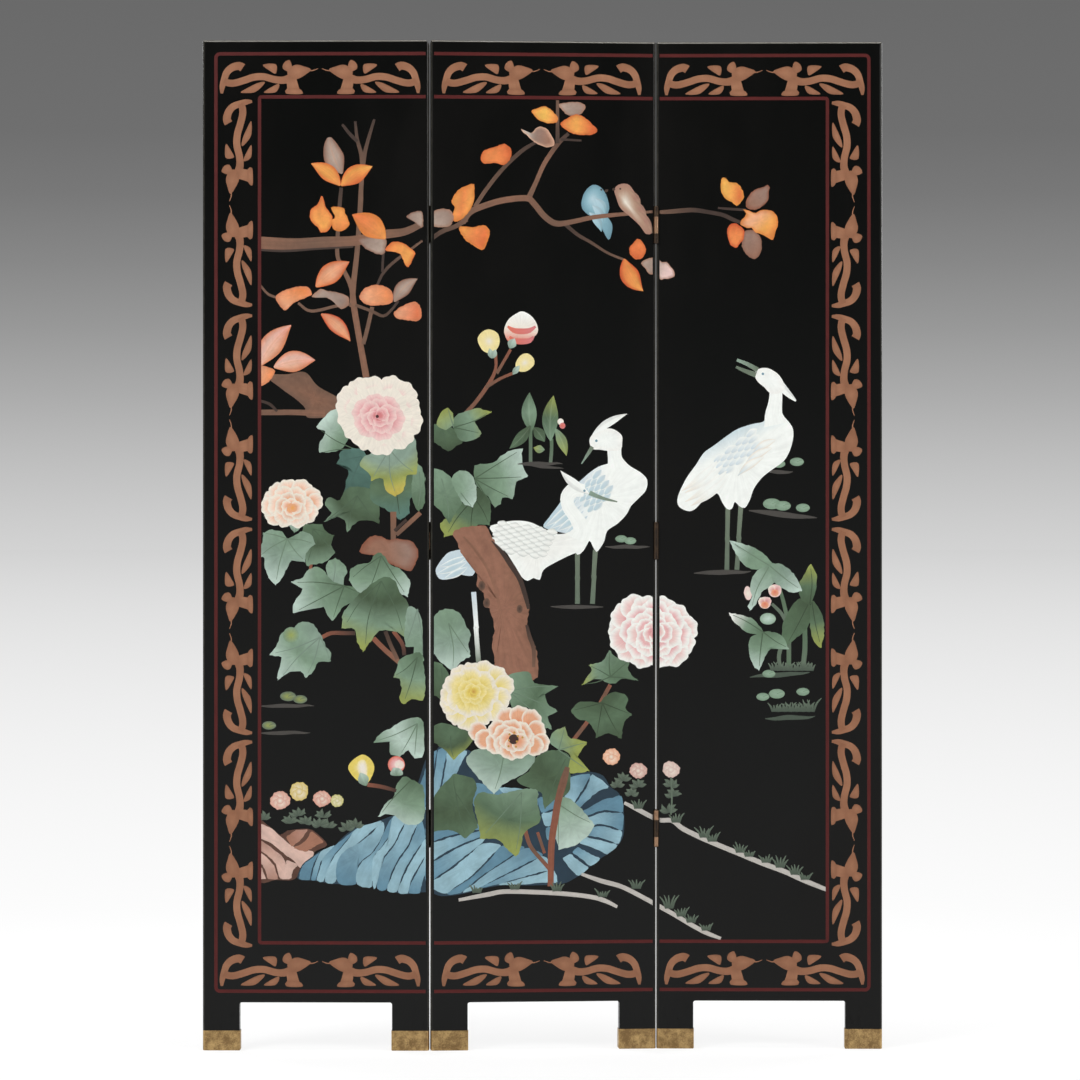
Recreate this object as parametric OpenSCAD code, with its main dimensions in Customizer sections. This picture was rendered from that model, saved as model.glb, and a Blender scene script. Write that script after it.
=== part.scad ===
// Folding lacquer screen: three leaves on loose-pin hinges, each leaf a jointed wooden frame
// filled with core boards, faced front and back with a lacquer ground, on legs shod in brass.
// +Z is up, the front faces -Y, and the origin is on the floor under the middle of the screen.

/* [Leaf] */
// Width of one leaf
leaf_w = 410; // [300:1:600]
// Height of the screen above the floor
leaf_h = 1829; // [1400:1:2200]
// Thickness of a leaf over both lacquer grounds
leaf_t = 22; // [20:0.5:36]
// Thickness of the lacquer ground on each face
ground_t = 2; // [1:0.25:3]
// Radius along the upright edges and the top edges
edge_r = 5; // [5:0.5:6]
// Radius of a leaf's top corners, seen from the front
corner_r = 3; // [1:0.5:12]
// Radius of the softened top corner beside the left joint
soft_corner_r = 10; // [1:0.5:20]

/* [Frame] */
// Width of a stile and of the leg that it runs down into
stile_w = 67; // [50:1:90]
// Height of the top rail
top_rail_h = 82; // [60:1:140]
// Height of the bottom rail
bottom_rail_h = 82; // [60:1:140]
// Height of the arch between the legs
arch_h = 87; // [60:1:200]
// Radius in the top corners of the arch
arch_r = 4; // [1:0.5:20]
// Length of the tenon on each end of a rail
tenon_l = 32; // [15:1:40]
// Thickness of a tenon
tenon_t = 6; // [4:0.5:10]
// Height of the shoulder above and below a tenon
shoulder_h = 14; // [5:1:25]
// Glue space past the end of a tenon
mortise_relief = 0.8; // [0.2:0.1:2]
// Number of core boards side by side
board_count = 3; // [2:1:5]
// Joint line between two core boards, also round their tongues
board_line = 0.3; // [0.2:0.1:0.8]
// Thickness of the tongue that joins two core boards
tongue_t = 6; // [4:0.5:8]
// Depth of the groove that takes the tongue
groove_depth = 7; // [4:0.5:10]

/* [Feet] */
// Height of a brass foot cap
cap_h = 36; // [20:1:60]
// Wall of a foot cap
cap_wall = 1; // [0.6:0.1:1.2]
// Space between a foot cap and its leg
cap_fit = 0.1; // [0.05:0.05:0.2]
// Depth that a foot cap is let into its leg on the leaf's outer side
cap_let_in = 1.1; // [1.1:0.1:2]
// Radius of a foot cap's bottom corners, seen from the front
cap_corner_r = 2; // [0.5:0.5:6]
// Radius of a cap nail's shank
nail_r = 0.8; // [0.5:0.1:1.2]
// Length of a cap nail under its head
nail_l = 10; // [6:1:14]
// Distance between the two nails of a foot cap
nail_pitch = 38; // [20:1:44]

/* [Hinges] */
// Height of the lower hinge's middle above the floor
lower_hinge_z = 400; // [250:1:550]
// Height of the middle hinge's middle above half the screen's height
middle_hinge_rise = 7.5; // [-100:0.5:100]
// Distance of the upper hinge's middle below the top
upper_hinge_drop = 333; // [150:1:450]
// Height of a hinge
hinge_h = 65; // [55:1:90]
// Height of each of the two outer knuckles
outer_knuckle_h = 17; // [12:0.5:20]
// Radius of a knuckle
knuckle_r = 4.5; // [3.5:0.1:4.5]
// Radius of the loose pin
pin_r = 1.9; // [1.5:0.1:2.4]
// Radius of the head that holds the pin up
pin_head_r = 3.4; // [2.8:0.1:4]
// Radial clearance between the pin and its knuckles
pin_fit = 0.05; // [0.02:0.01:0.09]
// Distance of the pin's axis from a leaf's face
pin_out = 3.2; // [3:0.1:5]
// Thickness of a hinge plate
plate_t = 1.8; // [1.2:0.1:2.5]
// Depth that a hinge plate reaches into the leaf's edge
plate_w = 14; // [12:0.5:15]
// Space between knuckles, and between a knuckle and the other plate
knuckle_gap = 0.3; // [0.2:0.1:0.6]
// Space between two leaves in line
joint_gap = 0.4; // [0.4:0.1:4]
// Radius of a hinge screw's shank
screw_r = 1.5; // [1:0.1:2]
// Radius of a hinge screw's head
screw_head_r = 3; // [2.2:0.1:3.4]
// Length of a hinge screw
screw_l = 16; // [10:1:20]
// Distance between the two screws of a hinge plate
screw_pitch = 38; // [20:1:44]
// Space round a screw or nail in its hole
hole_fit = 0.05; // [0.02:0.01:0.1]

/* [Stance] */
// Angle of each leaf from the line of the screen, turned alternately
zigzag = 3; // [1:0.5:15]

/* [Hidden] */
$fn = 64;
over = 1;                                        // how far a cut runs past a surface
frame_t = leaf_t - 2*ground_t;
panel_w = leaf_w - 2*stile_w;                    // between the stiles, and between the legs
board_bottom_z = arch_h + bottom_rail_h;
board_top_z = leaf_h - top_rail_h;
pin_x = leaf_w/2 + joint_gap/2;                  // pin axis from the middle of a leaf
pin_y = leaf_t/2 + pin_out;
plate_front = knuckle_r + knuckle_gap;           // where a plate clears the other half's knuckle
screw_v = (plate_front + pin_out + plate_w)/2;   // screw axis from the pin's axis
screw_head_h = plate_t - 0.3;
slot_w = 0.7;
slot_depth = 0.6;
nail_head_r = 2.2*nail_r;
nail_head_h = 0.8;
nail_z = cap_h - 9;
leg_x = leaf_w/2 - stile_w/2;
cap_leg_w = stile_w - cap_let_in;                // a leg's width inside its foot cap
LEVELS = ["lower", "middle", "upper"];
HINGE_Z = [lower_hinge_z, leaf_h/2 + middle_hinge_rise, leaf_h - upper_hinge_drop];
LEAVES = ["left", "middle", "right"];
LEAF_PIECES = ["left_stile", "right_stile", "top_rail", "bottom_rail", "core_boards", "front_ground",
    "back_ground", "left_foot_cap", "right_foot_cap", "foot_cap_nails"];
HINGE_PIECES = ["wide_half", "narrow_half", "pin"];
SCREWS = ["left_leaf_hinge_screws", "middle_leaf_left_hinge_screws",
    "middle_leaf_right_hinge_screws", "right_leaf_hinge_screws"];
NODES = concat(
    [for (leaf = LEAVES) for (piece = LEAF_PIECES) str(leaf, "_leaf_", piece)],
    [for (joint = ["left", "right"]) for (level = LEVELS) for (piece = HINGE_PIECES)
        str(joint, "_", level, "_hinge_", piece)],
    SCREWS);
node = "all";
lacquer = "#1d1d1b";
red_wood = "#5b3a26";
pale_wood = "#a98a62";
brass = "#b2945a";
steel = "#8d8a82";

function wanted(name) = node == "all" || node == name;

// The hinged edges of a leaf, as [side, face]: side 1 is its right edge, face -1 its front.
function hinged_edges(leaf) =
    leaf == "left" ? [[1, 1]] : leaf == "middle" ? [[-1, 1], [1, -1]] : [[-1, -1]];
function right_corner(leaf) = leaf == "left" ? soft_corner_r : corner_r;

// Stands a leaf in its place. The left leaf turns on pins behind the middle leaf's left edge,
// and the right leaf on pins in front of its right edge.
module on_leaf(leaf) {
    rotate(zigzag)
        if (leaf == "left")
            translate([-pin_x, pin_y, 0]) rotate(-2*zigzag) translate([-pin_x, -pin_y, 0]) children();
        else if (leaf == "right")
            translate([pin_x, -pin_y, 0]) rotate(-2*zigzag) translate([pin_x, pin_y, 0]) children();
        else
            children();
}

// Moves children from a hinge's own axes to an edge of a leaf. There the pin's axis is the
// origin, +X points into the leaf's width and +Y into its thickness.
module at_edge(side, face) {
    translate([side*pin_x, face*pin_y, 0])
        turn_over([1, 0, 0], side > 0)
            turn_over([0, 1, 0], face > 0)
                children();
}

module turn_over(axis, wanted_over) {
    if (wanted_over) mirror(axis) children();
    else children();
}

// What lies outside a quarter round of radius r at a corner whose sides run along +X and +Y.
module spandrel(r) {
    difference() {
        translate([-over, -over]) square(r + over);
        translate([r, r]) circle(r);
    }
}

// A bar's section, rounded by r_side at the corners on +X and r_other at those on -X.
module bar_section(w, t, r_side, r_other) {
    difference() {
        square([w, t], center = true);
        translate([w/2, -t/2]) rotate(90) spandrel(r_side);
        translate([w/2, t/2]) rotate(180) spandrel(r_side);
        if (r_other > 0) {
            translate([-w/2, -t/2]) spandrel(r_other);
            translate([-w/2, t/2]) rotate(270) spandrel(r_other);
        }
    }
}

module arch_outline() {
    difference() {
        translate([-panel_w/2, -over]) square([panel_w, arch_h + over]);
        translate([-panel_w/2, arch_h]) rotate(270) spandrel(arch_r);
        translate([panel_w/2, arch_h]) rotate(180) spandrel(arch_r);
    }
}

module front_outline(leaf) {
    difference() {
        translate([-leaf_w/2, cap_wall]) square([leaf_w, leaf_h - cap_wall]);
        translate([-leaf_w/2, leaf_h]) rotate(270) spandrel(corner_r);
        translate([leaf_w/2, leaf_h]) rotate(180) spandrel(right_corner(leaf));
        arch_outline();
    }
}

module side_outline() {
    difference() {
        translate([-leaf_t/2, 0]) square([leaf_t, leaf_h]);
        translate([-leaf_t/2, leaf_h]) rotate(270) spandrel(edge_r);
        translate([leaf_t/2, leaf_h]) rotate(180) spandrel(edge_r);
    }
}

// The whole of one leaf above its foot caps, which every wooden and lacquer piece is cut from.
module leaf_form(leaf) {
    intersection() {
        linear_extrude(leaf_h) bar_section(leaf_w, leaf_t, edge_r, edge_r);
        rotate([90, 0, 90]) linear_extrude(leaf_w, center = true) side_outline();
        rotate([90, 0, 0]) linear_extrude(leaf_t, center = true) front_outline(leaf);
        union() {
            translate([-leaf_w/2 - over, -leaf_t/2 - over, cap_h + cap_fit])
                cube([leaf_w + 2*over, leaf_t + 2*over, leaf_h]);
            for (side = [-1, 1]) at_leg(side) linear_extrude(cap_h + 2*cap_fit) leg_section(0);
        }
    }
}

// Moves children to a leg, with +X towards the leaf's outer side. The leg is cut back on that
// side for its foot cap, so that the caps of two leaves in line stay apart.
module at_leg(side) {
    translate([side*(leg_x - cap_let_in/2), 0, 0]) turn_over([1, 0, 0], side < 0) children();
}

// The recesses that let the hinge plates into an edge.
module hinge_recesses(leaf) {
    for (edge = hinged_edges(leaf)) at_edge(edge[0], edge[1])
        for (z = HINGE_Z) translate([joint_gap/2 - over, 0, z - hinge_h/2])
            cube([over + plate_t, pin_out + plate_w, hinge_h]);
}

module screw_holes(leaf) {
    for (edge = hinged_edges(leaf)) at_edge(edge[0], edge[1])
        for (z = HINGE_Z) translate([0, 0, z]) at_screws()
            cylinder(r = screw_r + hole_fit, h = joint_gap/2 + screw_l + mortise_relief);
}

// Points +Z along each of a hinge plate's screws, from the plane of the pin's axis.
module at_screws() {
    for (k = [-1, 1]) translate([0, screw_v, k*screw_pitch/2]) rotate([0, 90, 0]) children();
}

// Points +Z into the leaf along each cap nail, from the back of the foot cap.
module at_nails() {
    for (side = [-1, 1]) for (k = [-1, 1])
        translate([side*leg_x + k*nail_pitch/2, leaf_t/2 + cap_fit + cap_wall, nail_z])
            rotate([90, 0, 0]) children();
}

module nail_holes() {
    at_nails() translate([0, 0, -over]) cylinder(r = nail_r + hole_fit, h = over + nail_l + mortise_relief);
}

module tenon(side, rail_bottom_z, rail_h, past_end) {
    length = tenon_l + past_end;
    translate([side > 0 ? panel_w/2 : -panel_w/2 - length, -tenon_t/2, rail_bottom_z + shoulder_h])
        cube([length, tenon_t, rail_h - 2*shoulder_h]);
}

module stile(leaf, side) {
    color(lacquer) difference() {
        intersection() {
            leaf_form(leaf);
            translate([side > 0 ? panel_w/2 : -leaf_w/2, -frame_t/2, 0]) cube([stile_w, frame_t, leaf_h]);
        }
        tenon(side, arch_h, bottom_rail_h, mortise_relief);
        tenon(side, board_top_z, top_rail_h, mortise_relief);
        hinge_recesses(leaf);
        screw_holes(leaf);
        nail_holes();
    }
}

module rail(leaf, bottom_z, height) {
    color(red_wood) {
        intersection() {
            leaf_form(leaf);
            translate([-panel_w/2, -frame_t/2, bottom_z]) cube([panel_w, frame_t, height]);
        }
        for (side = [-1, 1]) tenon(side, bottom_z, height, 0);
    }
}

module core_boards() {
    board_w = (panel_w - (board_count - 1)*board_line)/board_count;
    board_l = board_top_z - board_bottom_z;
    groove_t = tongue_t + 2*board_line;
    color(pale_wood) for (k = [0:board_count - 1])
        translate([-panel_w/2 + k*(board_w + board_line), 0, board_bottom_z]) difference() {
            union() {
                translate([0, -frame_t/2, 0]) cube([board_w, frame_t, board_l]);
                if (k < board_count - 1)
                    translate([0, -tongue_t/2, 0]) cube([board_w + groove_depth, tongue_t, board_l]);
            }
            if (k > 0)
                translate([-over, -groove_t/2, -over])
                    cube([over + groove_depth, groove_t, board_l + 2*over]);
        }
}

// The lacquer ground of one face: face -1 is the front.
module ground(leaf, face) {
    color(lacquer) difference() {
        intersection() {
            leaf_form(leaf);
            translate([-leaf_w/2, face > 0 ? frame_t/2 : -leaf_t/2, 0]) cube([leaf_w, ground_t, leaf_h]);
        }
        hinge_recesses(leaf);
        if (face > 0) nail_holes();
    }
}

// A leg's section inside its foot cap, grown by a wall, with its rounded edges on +X.
module leg_section(grow) {
    bar_section(cap_leg_w + 2*grow, leaf_t + 2*grow, edge_r + grow, grow > cap_fit ? grow : 0);
}

module cap_front_outline() {
    outer_w = cap_leg_w + 2*(cap_fit + cap_wall);
    difference() {
        translate([-outer_w/2, 0]) square([outer_w, cap_h]);
        translate([-outer_w/2, 0]) spandrel(cap_corner_r);
        translate([outer_w/2, 0]) rotate(90) spandrel(cap_corner_r);
    }
}

module foot_cap(side) {
    color(brass) difference() {
        at_leg(side) difference() {
            intersection() {
                linear_extrude(cap_h) leg_section(cap_fit + cap_wall);
                rotate([90, 0, 0]) linear_extrude(2*leaf_t, center = true) cap_front_outline();
            }
            translate([0, 0, cap_wall]) linear_extrude(cap_h) leg_section(cap_fit);
        }
        nail_holes();
    }
}

module cap_nails() {
    color(brass) at_nails() {
        translate([0, 0, -nail_head_h]) cylinder(r1 = 0.6*nail_head_r, r2 = nail_head_r, h = nail_head_h);
        cylinder(r = nail_r, h = nail_l);
    }
}

// The knuckles of a half as [bottom, top]: the wide half has the two outer ones.
function wide_knuckles() = [[0, outer_knuckle_h], [hinge_h - outer_knuckle_h, hinge_h]];
function narrow_knuckle() =
    [[outer_knuckle_h + knuckle_gap, hinge_h - outer_knuckle_h - knuckle_gap]];

module hinge_half(knuckles) {
    color(brass) translate([0, 0, -hinge_h/2]) difference() {
        union() {
            translate([joint_gap/2, plate_front, 0])
                cube([plate_t, pin_out + plate_w - plate_front, hinge_h]);
            for (k = knuckles) translate([0, 0, k[0]]) {
                cylinder(r = knuckle_r, h = k[1] - k[0]);
                translate([joint_gap/2, 0, 0]) cube([plate_t, plate_front, k[1] - k[0]]);
            }
        }
        translate([0, 0, -over]) cylinder(r = pin_r + pin_fit, h = hinge_h + 2*over);
        translate([0, 0, hinge_h/2]) at_screws() {
            cylinder(r = screw_r + hole_fit, h = joint_gap + plate_t);
            translate([0, 0, joint_gap/2]) screw_head(hole_fit);
        }
    }
}

module screw_head(grow) {
    cylinder(r1 = screw_head_r + grow, r2 = screw_r + grow, h = screw_head_h);
}

// The loose pin, which hangs by its domed head on the top knuckle.
module hinge_pin() {
    tip_h = 1.5;
    color(brass) translate([0, 0, -hinge_h/2]) {
        translate([0, 0, -tip_h]) cylinder(r1 = 0.6*pin_r, r2 = pin_r, h = tip_h);
        cylinder(r = pin_r, h = hinge_h + pin_head_r/2);
        translate([0, 0, hinge_h]) intersection() {
            scale(pin_head_r) sphere(1);
            translate([-pin_head_r, -pin_head_r, 0]) cube([2*pin_head_r, 2*pin_head_r, 0.7*pin_head_r]);
        }
    }
}

module hinge_screws(side, face) {
    color(steel) at_edge(side, face) for (z = HINGE_Z) translate([0, 0, z]) at_screws()
        translate([0, 0, joint_gap/2]) difference() {
            union() {
                screw_head(0);
                cylinder(r = screw_r, h = screw_l - 2*screw_r);
                translate([0, 0, screw_l - 2*screw_r]) cylinder(r1 = screw_r, r2 = 0.3, h = 2*screw_r);
            }
            translate([-screw_head_r, -slot_w/2, -over]) cube([2*screw_head_r, slot_w, over + slot_depth]);
        }
}

for (leaf = LEAVES) on_leaf(leaf) {
    if (wanted(str(leaf, "_leaf_left_stile"))) stile(leaf, -1);
    if (wanted(str(leaf, "_leaf_right_stile"))) stile(leaf, 1);
    if (wanted(str(leaf, "_leaf_top_rail"))) rail(leaf, board_top_z, top_rail_h);
    if (wanted(str(leaf, "_leaf_bottom_rail"))) rail(leaf, arch_h, bottom_rail_h);
    if (wanted(str(leaf, "_leaf_core_boards"))) core_boards();
    if (wanted(str(leaf, "_leaf_front_ground"))) ground(leaf, -1);
    if (wanted(str(leaf, "_leaf_back_ground"))) ground(leaf, 1);
    if (wanted(str(leaf, "_leaf_left_foot_cap"))) foot_cap(-1);
    if (wanted(str(leaf, "_leaf_right_foot_cap"))) foot_cap(1);
    if (wanted(str(leaf, "_leaf_foot_cap_nails"))) cap_nails();
}
for (k = [0:len(LEVELS) - 1]) {
    height = HINGE_Z[k];
    left_name = str("left_", LEVELS[k], "_hinge_");
    right_name = str("right_", LEVELS[k], "_hinge_");
    on_leaf("middle") {
        at_edge(-1, 1) translate([0, 0, height]) {
            if (wanted(str(left_name, "wide_half"))) hinge_half(wide_knuckles());
            if (wanted(str(left_name, "pin"))) hinge_pin();
        }
        at_edge(1, -1) translate([0, 0, height]) {
            if (wanted(str(right_name, "wide_half"))) hinge_half(wide_knuckles());
            if (wanted(str(right_name, "pin"))) hinge_pin();
        }
    }
    on_leaf("left") at_edge(1, 1) translate([0, 0, height])
        if (wanted(str(left_name, "narrow_half"))) hinge_half(narrow_knuckle());
    on_leaf("right") at_edge(-1, -1) translate([0, 0, height])
        if (wanted(str(right_name, "narrow_half"))) hinge_half(narrow_knuckle());
}
if (wanted("left_leaf_hinge_screws")) on_leaf("left") hinge_screws(1, 1);
if (wanted("middle_leaf_left_hinge_screws")) on_leaf("middle") hinge_screws(-1, 1);
if (wanted("middle_leaf_right_hinge_screws")) on_leaf("middle") hinge_screws(1, -1);
if (wanted("right_leaf_hinge_screws")) on_leaf("right") hinge_screws(-1, -1);
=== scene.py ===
# %% [markdown]
# # A folding lacquer screen with painted flowers and herons
#
# The screen has three tall leaves of black lacquer. Each stands on two legs shod in brass, and loose-pin
# hinges join it to the next. The wood, the lacquer grounds, the feet and the hinges come in as fixed pieces
# at their real size. This lesson gives them their finish and then paints the picture on them.
#
# The fixed pieces could be copied and reshaped here, but then the screen would no longer fold as it was
# tested. So they stay as they are, and only their materials change.

# %% Load the fixed pieces
import math
import random
from collections import namedtuple

import bmesh
import bpy
import numpy as np
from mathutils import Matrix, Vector


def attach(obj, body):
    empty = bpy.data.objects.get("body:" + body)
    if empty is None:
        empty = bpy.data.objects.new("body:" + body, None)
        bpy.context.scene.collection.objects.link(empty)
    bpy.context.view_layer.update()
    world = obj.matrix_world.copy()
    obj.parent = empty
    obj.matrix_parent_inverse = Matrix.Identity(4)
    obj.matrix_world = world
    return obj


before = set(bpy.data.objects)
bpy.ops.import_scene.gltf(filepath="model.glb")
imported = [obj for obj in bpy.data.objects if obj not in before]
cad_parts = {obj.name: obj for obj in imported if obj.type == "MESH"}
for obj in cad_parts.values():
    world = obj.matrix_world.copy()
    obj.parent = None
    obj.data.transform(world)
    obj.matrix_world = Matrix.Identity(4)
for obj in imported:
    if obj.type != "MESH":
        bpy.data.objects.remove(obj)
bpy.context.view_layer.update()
MM = 0.001

# %% [markdown]
# ## Where each leaf stands
#
# The screen stands in a slight zigzag, so each leaf faces its own way. Its place could be typed in as
# numbers, but those would be wrong as soon as the screen changed. Instead the largest face of each front
# ground is measured: its normal says which way the leaf looks, and its spread says where its middle is.

# %% Measure the three leaves
Leaf = namedtuple("Leaf", "name sheet_x middle sideways outward half_width")
SHEET_GAP = 3.0                 # mm that the cartoon leaves for a joint
UP = Vector((0, 0, 1))


def measure_leaf(name, place):
    """place is -1, 0 or 1, counted from the middle leaf. Lengths are in millimetres."""
    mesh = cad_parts[name + "_front_ground"].data
    front = max((p for p in mesh.polygons if p.normal.y < -0.9), key=lambda p: p.area)
    outward = front.normal.copy()
    sideways = UP.cross(outward)
    reach = [v.co.dot(sideways) for v in mesh.vertices]
    middle = outward*front.center.dot(outward) + sideways*(min(reach) + max(reach))/2
    half_width = (max(reach) - min(reach))/2/MM
    return Leaf(name, place*(2*half_width + SHEET_GAP), middle, sideways, outward, half_width)


LEAVES = [measure_leaf(n, k - 1) for k, n in enumerate(("left_leaf", "middle_leaf", "right_leaf"))]
for leaf in LEAVES:
    print(leaf.name, "is", round(2*leaf.half_width), "mm wide and looks towards",
          [round(c, 3) for c in leaf.outward])

# %% [markdown]
# ## The camera
#
# The photograph was taken from far off with a long lens, level with the middle of the screen and a little
# to its left, so upright edges stay upright. A short lens close by would bend the outer leaves away, and a
# tilted camera would make the sides lean together. The lens follows from the distance and from how much
# height the picture takes in at the screen.

# %% Place the camera
VIEW_DISTANCE = 8.0             # m from the screen
VIEW_TURN = math.radians(2.1)   # towards the left side
VIEW_HEIGHT = 0.924
VIEW_MIDDLE_X = -0.0055
PICTURE_SPAN = 1.961            # m of height at the screen
VIEW_REACH = 1000.0             # m, past the far end of the floor

camera_data = bpy.data.cameras.new("camera")
camera = bpy.data.objects.new("camera", camera_data)
bpy.context.scene.collection.objects.link(camera)
bpy.context.scene.camera = camera
camera.location = (VIEW_MIDDLE_X - VIEW_DISTANCE*math.sin(VIEW_TURN),
                   -VIEW_DISTANCE*math.cos(VIEW_TURN), VIEW_HEIGHT)
camera.rotation_euler = (math.radians(90), 0, -VIEW_TURN)
camera_data.lens = camera_data.sensor_width*VIEW_DISTANCE/PICTURE_SPAN
camera_data.clip_end = VIEW_REACH
print("lens", round(camera_data.lens), "mm")

# %% [markdown]
# ## Small helpers for shader nodes
#
# A material is a graph of nodes. Each node could be made and linked in three or four lines, but then a
# material would fill a page. The helper below makes a node and links whatever is handed to it, so that a
# material reads from top to bottom.

# %% Node helpers
def node(tree, kind, inputs=None, **settings):
    """A new shader node. An input's value is a number, a colour or another node's output."""
    made = tree.nodes.new("ShaderNode" + kind)
    for name, value in settings.items():
        setattr(made, name, value)
    for name, value in (inputs or {}).items():
        if isinstance(value, bpy.types.NodeSocket):
            tree.links.new(value, made.inputs[name])
        else:
            made.inputs[name].default_value = value
    return made


def math_of(tree, operation, a, b=0.0):
    return node(tree, "Math", {0: a, 1: b}, operation=operation).outputs[0]


def mix_of(tree, amount, a, b, blend="MIX"):
    """Colour a turned into colour b by amount."""
    return node(tree, "Mix", {0: amount, 6: a, 7: b}, data_type="RGBA", blend_type=blend).outputs[2]


def band(tree, value, low, high, to_low=0.0, to_high=1.0):
    """value from low to high becomes to_low to to_high, softly at both ends."""
    inputs = {"Value": value, "From Min": low, "From Max": high, "To Min": to_low, "To Max": to_high}
    return node(tree, "MapRange", inputs, interpolation_type="SMOOTHSTEP").outputs[0]


def noise(tree, place, scale, detail=3.0, roughness=0.5):
    inputs = {"Vector": place, "Scale": scale, "Detail": detail, "Roughness": roughness}
    return node(tree, "TexNoise", inputs).outputs[0]


def object_place(tree):
    """Places on the piece itself, in metres, which stay put when the screen folds."""
    return node(tree, "TexCoord").outputs["Object"]


def stretched(tree, place, scale):
    return node(tree, "Mapping", {"Vector": place, "Scale": scale}).outputs[0]


def linear(red, green, blue):
    """A colour as a painter mixes it, 0 to 255, as the light that a shader needs."""
    def one(c):
        c = c/255
        return c/12.92 if c <= 0.04045 else ((c + 0.055)/1.055)**2.4
    return (one(red), one(green), one(blue), 1.0)


print("a mid grey is", [round(c, 3) for c in linear(128, 128, 128)])

# %% [markdown]
# ## The stage: floor, background and lights
#
# The photograph's background runs from grey at the top to white at the floor. It is given to the world and
# the floor as a colour for camera, glossy and transmission rays only, so it brightens the picture and its
# reflections but not the screen. A painted wall behind the screen would do the same from the front, but it
# would stand in the way when the screen is seen from behind.
#
# Large soft lamps stand high and to the sides. From there the polished faces send their mirror image to the
# floor and not into the camera, so the lacquer stays black and the rounded edges catch a thin bright line.
# The lacquer's colour adds to that line: a painted sheen on all rounded edges and a painted highlight on
# the ones that face upwards.

# %% World and floor
HORIZON = linear(206, 206, 206)
SKY_STOPS = [(-0.060, 250), (-0.040, 242), (-0.020, 229), (-0.008, 216), (0.004, 205), (0.019, 189),
             (0.033, 171), (0.048, 152), (0.063, 135), (0.078, 120), (0.092, 111), (0.12, 106)]
SKY_LOW, SKY_HIGH = SKY_STOPS[0][0], SKY_STOPS[-1][0]
PLAIN_LIGHT = 0.26              # how strongly the plain world lights the screen
BLACK = (0, 0, 0, 1)
FLOOR_SIZE = 400.0
FLOOR_SHARE = 0.25              # how much of the floor's look is lit and can hold a shadow
FLOOR_LIT = 0.95                # what the lamps give on a white floor at the feet
SHADOW_REACH = (1.4, 3.5)       # m from the screen over which that share is faded out
FLOOR_NEAR = 1.5                # m from the middle where the white floor starts to turn grey
FLOOR_FADE = 25.0               # m over which it turns halfway into the horizon's grey
FLOOR_BOUNCE = (0.7, 0.7, 0.7, 1)  # the floor as the screen sees it


def seen_directly(tree):
    """1 for rays that show the background itself: camera, glossy and transmission rays."""
    path = node(tree, "LightPath")
    either = math_of(tree, "MAXIMUM", path.outputs["Is Camera Ray"], path.outputs["Is Glossy Ray"])
    return math_of(tree, "MAXIMUM", either, path.outputs["Is Transmission Ray"])


def make_world():
    world = bpy.data.worlds.new("background")
    bpy.context.scene.world = world
    world.use_nodes = True
    tree = world.node_tree
    tree.nodes.clear()
    direction = node(tree, "TexCoord").outputs["Generated"]
    height = node(tree, "SeparateXYZ", {0: direction}).outputs[2]
    share = node(tree, "MapRange", {"Value": height, "From Min": SKY_LOW, "From Max": SKY_HIGH}).outputs[0]
    ramp = node(tree, "ValToRGB", {0: share})
    stops = ramp.color_ramp.elements
    while len(stops) < len(SKY_STOPS):
        stops.new(0.5)
    for stop, (at, grey) in zip(stops, SKY_STOPS):
        stop.position = (at - SKY_LOW)/(SKY_HIGH - SKY_LOW)
        stop.color = linear(grey, grey, grey)
    shown = node(tree, "Background", {"Color": ramp.outputs[0], "Strength": 1.0})
    plain = node(tree, "Background", {"Color": (1, 1, 1, 1), "Strength": PLAIN_LIGHT})
    both = node(tree, "MixShader", {0: seen_directly(tree), 1: plain.outputs[0], 2: shown.outputs[0]})
    node(tree, "OutputWorld", {"Surface": both.outputs[0]})


def make_floor():
    mesh = bpy.data.meshes.new("floor")
    bm = bmesh.new()
    bmesh.ops.create_grid(bm, x_segments=2, y_segments=2, size=FLOOR_SIZE)
    bm.to_mesh(mesh)
    bm.free()
    floor = bpy.data.objects.new("floor", mesh)
    bpy.context.scene.collection.objects.link(floor)
    material = bpy.data.materials.new("pale_floor")
    material.use_nodes = True
    tree = material.node_tree
    tree.nodes.clear()
    far = node(tree, "VectorMath", {0: object_place(tree)}, operation="LENGTH").outputs["Value"]
    past = math_of(tree, "MAXIMUM", math_of(tree, "SUBTRACT", far, FLOOR_NEAR), 0.0)
    fade = math_of(tree, "DIVIDE", past, math_of(tree, "ADD", past, FLOOR_FADE))
    tone = mix_of(tree, fade, (1, 1, 1, 1), HORIZON)
    lit = node(tree, "BsdfDiffuse", {"Color": FLOOR_BOUNCE})
    near = band(tree, far, SHADOW_REACH[0], SHADOW_REACH[1], 1.0, 0.0)
    share = mix_of(tree, near, BLACK, (FLOOR_SHARE,)*3 + (1,))
    shadowed = node(tree, "BsdfDiffuse", {"Color": share})
    held_back = mix_of(tree, near, BLACK, (FLOOR_SHARE*FLOOR_LIT,)*3 + (1,))
    glow = node(tree, "Emission", {"Color": mix_of(tree, 1.0, tone, held_back, "SUBTRACT")})
    shown = node(tree, "AddShader", {0: shadowed.outputs[0], 1: glow.outputs[0]})
    both = node(tree, "MixShader", {0: seen_directly(tree), 1: lit.outputs[0], 2: shown.outputs[0]})
    node(tree, "OutputMaterial", {"Surface": both.outputs[0]})
    floor.data.materials.append(material)


make_world()
make_floor()
bpy.context.scene.view_settings.view_transform = "Standard"
print("background from", SKY_STOPS[0][1], "at the floor to", SKY_STOPS[-1][1], "above")

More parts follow.
